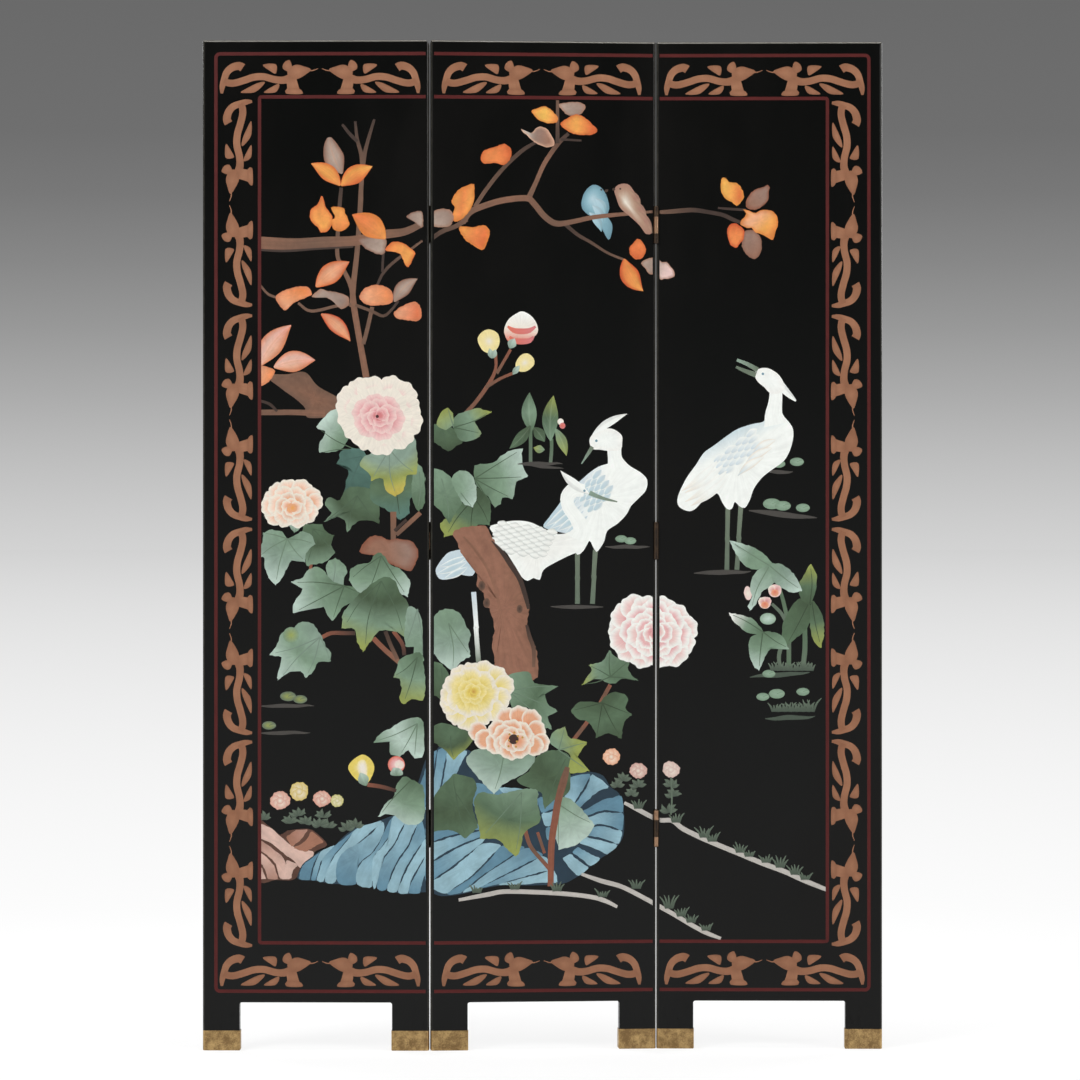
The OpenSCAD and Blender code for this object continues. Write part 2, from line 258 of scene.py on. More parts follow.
# %% Lights
def softbox(name, place, aim, size, power):
    """A rectangular lamp of that size in metres, turned towards aim."""
    data = bpy.data.lights.new(name, "AREA")
    data.shape = "RECTANGLE"
    data.size, data.size_y = size
    data.energy = power
    lamp = bpy.data.objects.new(name, data)
    lamp.location = place
    lamp.rotation_euler = (Vector(aim) - Vector(place)).to_track_quat("-Z", "Y").to_euler()
    bpy.context.scene.collection.objects.link(lamp)


SCREEN_MIDDLE = (0, 0, 0.9)
softbox("key_left", (-4.2, -5.0, 4.6), SCREEN_MIDDLE, (2.6, 2.6), 235)
softbox("fill_right", (4.8, -4.6, 3.4), SCREEN_MIDDLE, (2.4, 2.4), 135)
softbox("overhead", (0, -0.3, 4.4), (0, 0, 0), (2.4, 0.9), 70)
softbox("back_left", (-3.5, 4.8, 3.6), SCREEN_MIDDLE, (2.4, 2.4), 165)
softbox("back_right", (3.8, 4.2, 2.6), SCREEN_MIDDLE, (2.2, 2.2), 110)
print(len(bpy.data.lights), "soft lamps")

# %% [markdown]
# ## Shared effects
#
# Several finishes share an effect: hand brushing, rubbed edges with painted edge highlights, or tarnish.
# Each effect could be built again in every material, but then a change would have to be made many times. A
# node group holds it once, with named inputs, and each material sets its own values. A group gives out
# only colours, masks and heights, and the shader itself stays in the material.

# %% Group helpers
def new_group(name, inputs, outputs):
    """A shader node group. inputs and outputs are lists of (name, kind)."""
    kinds = {"value": "NodeSocketFloat", "colour": "NodeSocketColor", "vector": "NodeSocketVector"}
    tree = bpy.data.node_groups.new(name, "ShaderNodeTree")
    for way, sockets in (("INPUT", inputs), ("OUTPUT", outputs)):
        for socket, kind in sockets:
            tree.interface.new_socket(socket, in_out=way, socket_type=kinds[kind])
    return tree, tree.nodes.new("NodeGroupInput").outputs, tree.nodes.new("NodeGroupOutput").inputs


def use_group(tree, group, inputs):
    placed = tree.nodes.new("ShaderNodeGroup")
    placed.node_tree = group
    for name, value in inputs.items():
        if isinstance(value, bpy.types.NodeSocket):
            tree.links.new(value, placed.inputs[name])
        else:
            placed.inputs[name].default_value = value
    return placed.outputs


def give(tree, outputs, name, value):
    tree.links.new(value, outputs[name])


print("group helpers ready")

# %% [markdown]
# ### Brush work
#
# The picture is laid on by hand: the paint is uneven, and fine strokes run along each petal, leaf and
# feather. One noise over the whole piece would give stains but no strokes. So every painted shape carries
# two numbers, how far along and how far across it a point lies, and the strokes are noise stretched along
# those.

# %% Brush work group
def make_brush_work():
    tree, given, out = new_group(
        "brush_work",
        [("Paint", "colour"), ("Along", "value"), ("Across", "value"), ("Strokes", "value"),
         ("Stroke Count", "value"), ("Mottle", "value"), ("Mottle Scale", "value")],
        [("Color", "colour"), ("Height", "value")])
    place = object_place(tree)
    mottle = noise(tree, place, given["Mottle Scale"], 4.0, 0.6)
    lane = math_of(tree, "MULTIPLY", given["Across"], given["Stroke Count"])
    run = math_of(tree, "MULTIPLY", given["Along"], 1.6)
    lanes = node(tree, "CombineXYZ", {0: lane, 1: run, 2: math_of(tree, "MULTIPLY", mottle, 1.2)})
    strokes = noise(tree, lanes.outputs[0], 1.0, 2.0, 0.55)
    tone = math_of(tree, "MULTIPLY", math_of(tree, "SUBTRACT", strokes, 0.5), given["Strokes"])
    stain = math_of(tree, "MULTIPLY", math_of(tree, "SUBTRACT", mottle, 0.5), given["Mottle"])
    factor = math_of(tree, "ADD", 1.0, math_of(tree, "ADD", tone, stain))
    shaded = node(tree, "VectorMath", {0: given["Paint"], "Scale": factor}, operation="SCALE")
    give(tree, out, "Color", shaded.outputs[0])
    give(tree, out, "Height", math_of(tree, "ADD", strokes, math_of(tree, "MULTIPLY", mottle, 0.5)))
    return tree


BRUSH_WORK = make_brush_work()
print("brush work takes", [s.name for s in BRUSH_WORK.interface.items_tree if s.in_out == "INPUT"])

# %% [markdown]
# ### Rubbed edges and painted edge highlights
#
# Where two faces meet, hands and dust cloths polish the finish away first, and the feet of a screen are
# scuffed by shoes and brooms. The wear could be painted on by hand, point by point. Here the surface's own
# normal finds the rounded edges, because only there does it point between two main directions. The same
# masks carry painted light too: on the lacquer, the paler rounded edges are partly wear and partly painted
# sheen, and Top marks the rounded edges that face upwards, which get a painted highlight.

# %% Edge wear and painted highlight group
def make_edge_wear_and_highlight():
    tree, given, out = new_group("edge_wear_and_highlight", [("Amount", "value"), ("Scuff Height", "value")],
                                 [("Edge", "value"), ("Top", "value"), ("Scuff", "value")])
    coordinates = node(tree, "TexCoord").outputs
    normal = node(tree, "SeparateXYZ", {0: node(
        tree, "VectorMath", {0: coordinates["Normal"]}, operation="ABSOLUTE").outputs[0]}).outputs
    largest = math_of(tree, "MAXIMUM", math_of(tree, "MAXIMUM", normal[0], normal[1]), normal[2])
    edge = band(tree, largest, 0.80, 0.992, 1.0, 0.0)
    # Top: the rounded edges that face upwards, where the lacquer gets a painted highlight
    upward = band(tree, node(tree, "SeparateXYZ", {0: coordinates["Normal"]}).outputs[2], 0.15, 0.6)
    give(tree, out, "Top", math_of(tree, "MULTIPLY", edge, upward))
    patchy = band(tree, noise(tree, coordinates["Object"], 60.0, 4.0, 0.7), 0.3, 0.7, 0.45, 1.0)
    give(tree, out, "Edge", math_of(tree, "MULTIPLY", math_of(tree, "MULTIPLY", edge, patchy),
                                    given["Amount"]))
    height = node(tree, "SeparateXYZ", {0: coordinates["Object"]}).outputs[2]
    low = band(tree, height, 0.0, given["Scuff Height"], 1.0, 0.0)
    marks = band(tree, noise(tree, stretched(tree, coordinates["Object"], (90, 90, 25)), 1.0, 5.0, 0.7),
                 0.52, 0.7)
    give(tree, out, "Scuff", math_of(tree, "MULTIPLY", low, marks))
    return tree


EDGE_WEAR_AND_HIGHLIGHT = make_edge_wear_and_highlight()
print("rubbed edge gives", [s.name for s in EDGE_WEAR_AND_HIGHLIGHT.interface.items_tree if s.in_out == "OUTPUT"])

# %% [markdown]
# ### Tarnish
#
# Brass browns in patches where nobody touches it. A single brown would look like paint. Two sizes of noise
# give large clouds and fine specks, and the mask drives both the colour and how dull the metal is.

# %% Tarnish group
def make_tarnish():
    tree, given, out = new_group(
        "tarnish", [("Bright", "colour"), ("Dark", "colour"), ("Cover", "value"), ("Scale", "value")],
        [("Color", "colour"), ("Dull", "value"), ("Height", "value")])
    place = object_place(tree)
    clouds = noise(tree, place, given["Scale"], 5.0, 0.65)
    specks = noise(tree, place, math_of(tree, "MULTIPLY", given["Scale"], 9.0), 2.0, 0.5)
    both = math_of(tree, "ADD", math_of(tree, "MULTIPLY", clouds, 0.7),
                   math_of(tree, "MULTIPLY", specks, 0.3))
    raised = math_of(tree, "ADD", both, math_of(tree, "SUBTRACT", given["Cover"], 0.5))
    dull = band(tree, raised, 0.36, 0.64)
    give(tree, out, "Dull", dull)
    give(tree, out, "Color", mix_of(tree, dull, given["Bright"], given["Dark"]))
    give(tree, out, "Height", specks)
    return tree


TARNISH = make_tarnish()
print("tarnish ready")

# %% [markdown]
# ## Lacquer
#
# Black lacquer is many thin coats, each polished, so it is nearly black and mirrors its surroundings
# weakly. A pure black with no roughness would look like glass. The photograph shows faint smudges, a
# lighter lower part where the pale floor mirrors, and a thin grey line along the rounded edges. So the
# colour stays almost black and noise moves only the roughness, except on the rounded edges: they turn grey,
# partly as rubbed wear and partly as painted sheen, and those that face upwards get a painted highlight.

# %% Lacquer finishes
LACQUER_TONE = linear(5, 6, 5)
LACQUER_BROWN = linear(30, 22, 18)
# paler tone of the rounded edges: partly rubbed lacquer, partly painted sheen
EDGE_WEAR_AND_SHEEN = linear(70, 68, 61)
# a painted highlight for the rounded edges that face upwards
TOP_EDGE_HIGHLIGHT = linear(104, 101, 94)


def new_finish(name):
    material = bpy.data.materials.new(name)
    material.use_nodes = True
    tree = material.node_tree
    return material, tree, tree.nodes["Principled BSDF"]


def set_plain(shader, **values):
    """Values that are the same all over, on the shader's own sockets."""
    for name, value in values.items():
        shader.inputs[name.replace("_", " ")].default_value = value


def wire(tree, shader, name, value):
    tree.links.new(value, shader.inputs[name])


def raise_height(tree, shader, height, strength, distance):
    bump = node(tree, "Bump", {"Height": height, "Strength": strength, "Distance": distance})
    wire(tree, shader, "Normal", bump.outputs[0])


def lacquer(name, gloss, dull, edge_wear_and_sheen, ripple):
    """gloss and dull are the roughness where the polish is best and worst."""
    material, tree, shader = new_finish(name)
    wear_and_highlight_masks = use_group(tree, EDGE_WEAR_AND_HIGHLIGHT, {"Amount": edge_wear_and_sheen, "Scuff Height": 0.12})
    place = object_place(tree)
    smudge = band(tree, noise(tree, stretched(tree, place, (3, 3, 1.3)), 1.0, 4.0, 0.6), 0.35, 0.75)
    fine = noise(tree, place, 220.0, 2.0)
    rough = band(tree, math_of(tree, "ADD", smudge, math_of(tree, "MULTIPLY", fine, 0.25)), 0.0, 1.2,
                 gloss, dull)
    scuffed = math_of(tree, "ADD", rough, math_of(tree, "MULTIPLY", wear_and_highlight_masks["Scuff"], 0.25))
    tone = mix_of(tree, math_of(tree, "MULTIPLY", smudge, 0.12), LACQUER_TONE, LACQUER_BROWN)
    # the rounded edges turn paler: partly rubbed wear, partly painted sheen
    worn_and_sheen_tone = mix_of(tree, wear_and_highlight_masks["Edge"], tone, EDGE_WEAR_AND_SHEEN)
    # a painted highlight on the rounded edges that face upwards
    wire(tree, shader, "Base Color", mix_of(tree, wear_and_highlight_masks["Top"], worn_and_sheen_tone, TOP_EDGE_HIGHLIGHT))
    wire(tree, shader, "Roughness", scuffed)
    raise_height(tree, shader, noise(tree, place, ripple, 2.0), 0.12, 0.0006)
    set_plain(shader, Specular_IOR_Level=0.19)
    return material


FRONT_LACQUER = lacquer("front_lacquer", 0.13, 0.24, 0.7, 9.0)
BACK_LACQUER = lacquer("back_lacquer", 0.24, 0.40, 0.7, 14.0)
EDGE_LACQUER = lacquer("edge_lacquer", 0.20, 0.36, 0.9, 30.0)
print("three lacquers, one for the front, one for the back and one for the edges")

# %% [markdown]
# ## Brass, steel and bare wood
#
# The foot shoes are folded from sheet brass and have gone dull and mottled at the floor. The hinges are
# one brass made twice, with light and shade painted in: a darker, browner copy with painted shade for the
# knuckles in the shade of the joints, and a brighter copy with painted light for the few that catch the
# light. One metal for all would lose the bright knuckles, so each hinge part picks the copy with painted
# light or the one with painted shade.

# %% Metal finishes
def brass(name, bright, dark, cover, smooth, rough, scale=55.0):
    material, tree, shader = new_finish(name)
    film = use_group(tree, TARNISH, {"Bright": bright, "Dark": dark, "Cover": cover, "Scale": scale})
    wear_and_highlight_masks = use_group(tree, EDGE_WEAR_AND_HIGHLIGHT, {"Amount": 0.8, "Scuff Height": 0.03})
    wire(tree, shader, "Base Color", mix_of(tree, wear_and_highlight_masks["Edge"], film["Color"], bright))
    dull = math_of(tree, "MAXIMUM", math_of(tree, "SUBTRACT", film["Dull"], wear_and_highlight_masks["Edge"]), 0.0)
    wire(tree, shader, "Roughness", band(tree, math_of(tree, "ADD", dull, wear_and_highlight_masks["Scuff"]), 0.0, 1.0,
                                         smooth, rough))
    wire(tree, shader, "Metallic", band(tree, dull, 0.0, 1.0, 1.0, 0.75))
    raise_height(tree, shader, film["Height"], 0.25, 0.0002)
    return material


FOOT_BRASS = brass("foot_brass", linear(196, 164, 112), linear(132, 104, 66), 0.52, 0.30, 0.52)
# the hinge brass twice: once with painted light, once with painted shade
PAINTED_LIGHT_HINGE = brass("hinge_brass_painted_light", linear(176, 140, 112), linear(120, 92, 72), 0.45, 0.28, 0.5, 90.0)
PAINTED_SHADE_HINGE = brass("hinge_brass_painted_shade", linear(96, 78, 62), linear(46, 38, 32), 0.62, 0.4, 0.6, 90.0)
SCREW_STEEL = brass("screw_steel", linear(120, 112, 100), linear(64, 56, 48), 0.55, 0.32, 0.55, 160.0)


def make_core_wood():
    material, tree, shader = new_finish("core_wood")
    grain = noise(tree, stretched(tree, object_place(tree), (45, 45, 3)), 1.0, 6.0, 0.6)
    tone = mix_of(tree, band(tree, grain, 0.35, 0.65), linear(176, 140, 98), linear(140, 104, 68))
    wire(tree, shader, "Base Color", tone)
    wire(tree, shader, "Roughness", band(tree, grain, 0.3, 0.7, 0.65, 0.8))
    raise_height(tree, shader, grain, 0.3, 0.0004)
    return material


CORE_WOOD = make_core_wood()
print("brass for feet and hinges, steel for screws, and bare wood inside")

# %% Hand the finishes to the fixed pieces
# knuckles that get the brass with painted light; every other hinge part gets the one with painted shade
PAINTED_LIGHT_HINGE_PARTS = ("right_upper_hinge_narrow_half", "right_lower_hinge_wide_half",
                      "left_middle_hinge_narrow_half")


def finish_for(name):
    if name in PAINTED_LIGHT_HINGE_PARTS:
        return PAINTED_LIGHT_HINGE
    for ending, finish in (("front_ground", FRONT_LACQUER), ("back_ground", BACK_LACQUER),
                           ("stile", EDGE_LACQUER), ("rail", EDGE_LACQUER), ("core_boards", CORE_WOOD),
                           ("foot_cap", FOOT_BRASS), ("foot_cap_nails", FOOT_BRASS),
                           ("hinge_screws", SCREW_STEEL)):
        if name.endswith(ending):
            return finish
    return PAINTED_SHADE_HINGE


for name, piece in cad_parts.items():
    finish = finish_for(name)
    if not piece.material_slots:
        piece.data.materials.append(finish)
    for slot in piece.material_slots:
        slot.material = finish
print(sum("hinge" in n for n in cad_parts), "hinge pieces,",
      sum("foot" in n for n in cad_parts), "foot pieces")

# %% [markdown]
# ## Finishes for the picture
#
# The picture is paint and thin inlay on the lacquer. Each kind of thing in it has its own finish: leaf,
# petal, bark, feather, rock, stem and the copper-brown border ornament. They share the brush work group and
# differ in how strong and how fine the strokes are. The colour itself comes with each shape, as a colour
# attribute, because one leaf shades from brown to yellow-green and the next from teal to white.

# %% Picture finishes
def picture_inputs(tree):
    paint = node(tree, "Attribute", attribute_name="paint").outputs["Color"]
    along = node(tree, "Attribute", attribute_name="along").outputs["Fac"]
    across = node(tree, "Attribute", attribute_name="across").outputs["Fac"]
    return paint, along, across


def picture_finish(name, strokes, count, mottle, mottle_scale, rough, relief, vein=None):
    """vein is (colour, strength, pairs) for the midrib and side veins of a leaf."""
    material, tree, shader = new_finish(name)
    paint, along, across = picture_inputs(tree)
    work = use_group(tree, BRUSH_WORK, {
        "Paint": paint, "Along": along, "Across": across, "Strokes": strokes, "Stroke Count": count,
        "Mottle": mottle, "Mottle Scale": mottle_scale})
    colour = work["Color"]
    if vein:
        tone, strength, pairs = vein
        side = math_of(tree, "ABSOLUTE", across)
        rib = band(tree, side, 0.03, 0.14, 1.0, 0.0)
        slant = math_of(tree, "SUBTRACT", math_of(tree, "MULTIPLY", along, pairs),
                        math_of(tree, "MULTIPLY", side, 1.3))
        wave = math_of(tree, "ABSOLUTE", math_of(tree, "SUBTRACT", math_of(tree, "FRACT", slant), 0.5))
        twig = math_of(tree, "MULTIPLY", band(tree, wave, 0.0, 0.12, 0.6, 0.0),
                       band(tree, side, 0.7, 0.95, 1.0, 0.0))
        lines = math_of(tree, "MULTIPLY", math_of(tree, "MAXIMUM", rib, twig), strength)
        colour = mix_of(tree, lines, colour, tone)
    wire(tree, shader, "Base Color", colour)
    wire(tree, shader, "Roughness", band(tree, work["Height"], 0.4, 1.1, rough - 0.06, rough + 0.08))
    raise_height(tree, shader, work["Height"], relief, 0.0005)
    set_plain(shader, Specular_IOR_Level=0.3)
    return material


PICTURE_FINISH = {
    "leaf": picture_finish("leaf_paint", 0.40, 3.0, 0.5, 55.0, 0.46, 0.35,
                           (linear(196, 208, 186), 0.12, 4.0)),
    "autumn": picture_finish("autumn_leaf_paint", 0.40, 3.0, 0.55, 60.0, 0.46, 0.35,
                             (linear(196, 120, 72), 0.22, 5.0)),
    "curled_leaf": picture_finish("curled_leaf_paint", 0.30, 2.5, 0.6, 55.0, 0.46, 0.3),
    "broad_leaf": picture_finish("broad_leaf_paint", 0.40, 4.0, 0.65, 38.0, 0.48, 0.35),
    "petal": picture_finish("petal_paint", 0.30, 4.0, 0.16, 50.0, 0.48, 0.3),
    "bark": picture_finish("bark_paint", 0.5, 3.5, 0.6, 90.0, 0.55, 0.8),
    "feather": picture_finish("feather_paint", 0.20, 6.0, 0.2, 80.0, 0.46, 0.4),
    "rock": picture_finish("rock_paint", 0.3, 5.0, 0.9, 28.0, 0.52, 0.5),
    "stem": picture_finish("stem_paint", 0.3, 2.0, 0.4, 70.0, 0.48, 0.3),
    "copper": picture_finish("border_copper", 0.22, 3.0, 0.5, 45.0, 0.42, 0.4),
    "red_line": picture_finish("border_red", 0.1, 2.0, 0.6, 35.0, 0.45, 0.2),
}
print(len(PICTURE_FINISH), "finishes for the picture")

# %% [markdown]
# # The picture
#
# The picture runs over all three leaves as one, so it is drawn once, on a paper cartoon, and then laid on
# each leaf as far as it reaches. The cartoon is smaller than the screen: one millimetre on paper is 1.816
# mm on the lacquer. Its x is measured from the middle of the screen and its y from the floor.
#
# An image wrapped on the leaves would be simpler, but it would be flat, and it would blur close up. Here
# every leaf, petal and feather is a thin shape of its own, and together they stand up to a millimetre high,
# as raised lacquer painting is built up.

# %% The cartoon and the palette
PAPER = 1.816                   # mm on the screen for one on the cartoon
PICTURE_EDGE_TO_LEAF = 5.0      # mm, the rounded edge that the picture stays off

GREEN, PALE_GREEN, DARK_GREEN, DEEP_GREEN = (124, 150, 126), (188, 208, 196), (88, 112, 86), (68, 86, 62)
GREY_GREEN, LIME, TEAL, DEEP_TEAL = (138, 160, 144), (150, 160, 84), (84, 118, 108), (62, 92, 82)
DIM_GREEN, FAINT_GREEN, PAD_GREEN = (98, 112, 96), (72, 84, 72), (146, 172, 150)
ORANGE, DEEP_ORANGE, AMBER, YELLOW = (230, 136, 76), (218, 106, 60), (236, 166, 84), (240, 188, 92)
PEACH, LEMON, TAUPE, PALE_TAUPE = (230, 170, 134), (230, 208, 104), (148, 124, 112), (178, 158, 144)
PALE_PEACH, SOFT_CORAL = (244, 208, 184), (224, 140, 100)
FADED_BROWN, ROSY_BROWN = (150, 108, 88), (166, 124, 108)
CREAM, WHITE, PALE_YELLOW, PALE_PINK = (238, 230, 216), (246, 246, 240), (238, 222, 158), (238, 206, 200)
PINK, ROSE, CORAL, GOLD = (232, 176, 176), (212, 126, 128), (222, 114, 92), (200, 148, 66)
BARK, DARK_BARK, TRUNK, RED_WOOD = (112, 84, 68), (62, 47, 40), (132, 94, 74), (138, 84, 64)
WARM_BARK = (148, 104, 84)
PLUME, BLUE_PLUME, PALE_SKY = (248, 251, 246), (206, 220, 226), (186, 210, 218)
SKY, SLATE, LEG_GREEN, FEATHER_RIM = (142, 184, 196), (108, 146, 160), (112, 124, 106), (206, 210, 204)
TAN, BILL, SEED = (180, 148, 124), (70, 54, 44), (70, 36, 34)
ROCK_BLUE, ROCK_PALE, ROCK_DEEP = (98, 138, 158), (152, 188, 200), (38, 58, 72)
ROCK_PINK, ROCK_BROWN, ROCK_RUST, ROCK_SEAM = (218, 184, 170), (180, 138, 122), (160, 112, 90), (92, 62, 50)
COPPER, COPPER_LIGHT, RED = (142, 96, 70), (158, 110, 82), (80, 19, 17)
CHALK, DULL_WATER = (192, 187, 180), (72, 69, 65)

# Rows of tones that come again and again, from the base or heart of a thing outwards
TWIG, BOUGH = [DARK_BARK, BARK], [BARK, DARK_BARK]
RED_STEM, REED = [RED_WOOD, DARK_BARK], [DARK_GREEN, DIM_GREEN]
FRESH, LIGHT, SOFT = [DARK_GREEN, GREEN, PALE_GREEN], [GREEN, PALE_GREEN], [GREEN, GREY_GREEN, PALE_GREEN]
SHADED, SHADOWY = [DARK_GREEN, DEEP_GREEN, GREEN], [DARK_GREEN, DEEP_GREEN, DARK_GREEN]
DEEP = [DEEP_GREEN, DARK_GREEN]
YELLOWING, TURNING = [DARK_GREEN, GREEN, LIME], [DEEP_GREEN, DARK_GREEN, LIME]
LATE, MOSSY, SPRIG = [GREEN, DARK_GREEN, LIME], [GREEN, LIME], [GREY_GREEN, PALE_GREEN]
DRY, PEACHY, GLOWING = [PALE_TAUPE, TAUPE], [PEACH, ORANGE], [AMBER, ORANGE, DEEP_ORANGE]
FERN, BUTTER, SUNNY = [FAINT_GREEN, DIM_GREEN], [CREAM, PALE_YELLOW, PALE_YELLOW], [GOLD, LEMON, PALE_YELLOW]
print("palette ready")

# %% [markdown]
# ## Two ways to lay on a shape
#
# Almost everything in the picture is one of two shapes. A stroke follows a line and has a width at each
# point: a branch, a leaf blade, a neck or a vein. A patch fills an outline: a petal, a rock or a body. They
# could be drawn as curves with a bevel, but a curve can't carry a colour at each point. So both are made as
# small meshes, slightly domed, which know how far along and across each point lies.
#
# Shapes overlap. Each new shape looks at what already lies under it and goes one layer higher, so that no
# two surfaces fight for the same height.

# %% Lay a shape on the cartoon
Shape = namedtuple("Shape", "kind places rise tones along across faces level")
SHAPES = []
COVER_CELL = 1.5                # cartoon mm, cells that remember how many layers lie there
COVER_START = (390.0, 0.0)      # cartoon mm that the cells reach left of the middle and below the floor
COVER_ROWS, COVER_COLUMNS = 720, 520
COVER = np.zeros((COVER_ROWS, COVER_COLUMNS), int)
SAMPLES = [(a/3, b/3) for a in range(4) for b in range(4)]
chance = random.Random(7)


def wobble(amount):
    return chance.uniform(-amount, amount)


def lay(kind, places, rise, tones, along, across, faces):
    """Add one shape, a layer above whatever it covers."""
    corners = places[np.array(faces)]
    spots = np.concatenate([(1 - a)*(1 - b)*corners[:, 0] + a*(1 - b)*corners[:, 1]
                            + a*b*corners[:, 2] + (1 - a)*b*corners[:, 3] for a, b in SAMPLES])
    cells = ((spots + COVER_START)/COVER_CELL).astype(int)
    rows = np.clip(cells[:, 1], 0, COVER.shape[0] - 1)
    columns = np.clip(cells[:, 0], 0, COVER.shape[1] - 1)
    level = int(COVER[rows, columns].max()) + 1
    COVER[rows, columns] = level
    SHAPES.append(Shape(kind, places, rise, tones, along, across, faces, level))


def rounded(points, spacing, closed=False):
    """Close points on a smooth line through the given ones. A third number rides along as a width."""
    given = np.array(points, float)
    count = len(given)
    line = []
    for k in range(count if closed else count - 1):
        before = given[k - 1] if closed or k > 0 else 2*given[0] - given[1]
        start, end = given[k], given[(k + 1) % count]
        after = given[(k + 2) % count] if closed or k + 2 < count else 2*given[-1] - given[-2]
        steps = max(2, int(round(math.hypot(*(end - start)[:2])/spacing)))
        for t in (s/steps for s in range(steps)):
            line.append(0.5*(2*start + (end - before)*t + (2*before - 5*start + 4*end - after)*t*t
                             + (3*start - before - 3*end + after)*t**3))
    if not closed:
        line.append(given[-1])
    return np.array(line)


def shade(tones, share):
    """The colour at each share, 0 to 1, of an even row of tones."""
    row = np.array([linear(*tone)[:3] for tone in tones])
    at = np.clip(share, 0, 1)*(len(row) - 1)
    low = np.minimum(at.astype(int), max(len(row) - 2, 0))
    high = np.minimum(low + 1, len(row) - 1)
    part = (at - low)[..., None]
    return row[low]*(1 - part) + row[high]*part


ACROSS = np.array([-1.0, -0.84, -0.45, 0.0, 0.45, 0.84, 1.0])
STROKE_RISE = np.array([0.0, 0.6, 0.9, 1.0, 0.9, 0.6, 0.0])
RIM_SHARE = np.array([1.0, 0.75, 0.1, 0.0, 0.1, 0.75, 1.0])
PATCH_RIM_SHARE = (1.0, 0.6, 0.0, 0.0, 0.0)


def stroke(kind, points, tones, rim=None, halves=0.0, spacing=3.0, other=None):
    """points are (x, y, width). halves darkens one side, and other is a tone that side turns to."""
    line = rounded(points, spacing)
    middle, half = line[:, :2], np.maximum(line[:, 2], 0.5)/2
    ahead = np.gradient(middle, axis=0)
    ahead /= np.maximum(np.linalg.norm(ahead, axis=1), 1e-6)[:, None]
    side = np.stack([-ahead[:, 1], ahead[:, 0]], axis=1)
    places = middle[:, None] + side[:, None]*(half[:, None]*ACROSS)[..., None]
    run = np.concatenate([[0], np.cumsum(np.linalg.norm(np.diff(middle, axis=0), axis=1))])
    lanes = len(ACROSS)
    along = np.repeat((run/run[-1])[:, None], lanes, axis=1)
    across = np.repeat(ACROSS[None], len(line), axis=0)
    colour = shade(tones, along)*(1 - halves*(across > 0.2))[..., None]
    for tone, share in ((other, 0.75*(across[..., None] + 1)/2), (rim, RIM_SHARE[None, :, None])):
        if tone:
            colour = colour*(1 - share) + np.array(linear(*tone)[:3])*share
    rise = np.repeat(STROKE_RISE[None], len(line), axis=0)
    starts = [lanes*i + j for i in range(len(line) - 1) for j in range(lanes - 1)]
    faces = [(a, a + lanes, a + lanes + 1, a + 1) for a in starts]
    lay(kind, places.reshape(-1, 2), rise.ravel(), colour.reshape(-1, 3), along.ravel(),
        across.ravel(), faces)


RINGS = (1.0, 0.9, 0.66, 0.4, 0.16)
RING_RISE = (0.0, 0.6, 0.9, 1.0, 1.0)


def patch(kind, outline, tones, heart=None, rim=None, spacing=3.0, turns=1.0, slope=None, spread=0.0,
          ragged=0.0):
    """Fill an outline. tones run from the heart to the rim, or from one end of the slope to the other.

    spread bends the slope's bands round its start, and ragged roughens the outline.
    """
    edge = rounded(outline, spacing, closed=True)
    edge += [(wobble(ragged), wobble(ragged)) for _ in edge]
    area = np.sum(edge[:, 0]*np.roll(edge[:, 1], -1) - edge[:, 1]*np.roll(edge[:, 0], -1))
    if area < 0:
        edge = edge[::-1]
    heart = edge.mean(axis=0) if heart is None else np.array(heart, float)
    count = len(edge)
    places = np.concatenate([heart + (edge - heart)*ring for ring in RINGS] + [heart[None]])
    along = np.append(np.repeat(RINGS, count), 0.0)
    away = places - heart
    across = np.arctan2(away[:, 1], away[:, 0])*turns
    share = along
    if slope:
        start, way = np.array(slope[0], float), np.subtract(slope[1], slope[0]).astype(float)
        distance = np.linalg.norm(places - start, axis=1)
        share = (1 - spread)*((places - start) @ way)/(way @ way) + spread*distance/distance.max()
    colour = shade(tones, share)
    if rim:
        share = np.append(np.repeat(PATCH_RIM_SHARE, count), 0.0)[:, None]
        colour = colour*(1 - share) + np.array(linear(*rim)[:3])*share
    faces = [(r*count + i, r*count + (i + 1) % count, (r + 1)*count + (i + 1) % count,
              (r + 1)*count + i) for r in range(len(RINGS) - 1) for i in range(count)]
    last, middle = (len(RINGS) - 1)*count, len(places) - 1
    faces += [(last + i, last + (i + 1) % count, middle, middle) for i in range(count)]
    lay(kind, places, np.append(np.repeat(RING_RISE, count), 1.0), colour, along, across, faces)


print("a stroke has", len(ACROSS), "points across, a patch has", len(RINGS), "rings")

# %% [markdown]
# ## Words of the picture
#
# A painter has a stock of forms that come again and again: a blade, a broad leaf, a petal with a scalloped
# edge, a flower, a lily pad, a tuft of grass. Each is one function here, so a whole plant takes a few
# lines. A small seeded chance bends, sizes and roughens each one a little, so no two are quite alike, yet
# the picture comes out the same every time.

# %% Blades, broad leaves and petals
def burnt(tone):
    """The darker, redder tone that an autumn leaf has along its edge."""
    return tuple(round(c*share) for c, share in zip(tone, (0.90, 0.74, 0.66)))


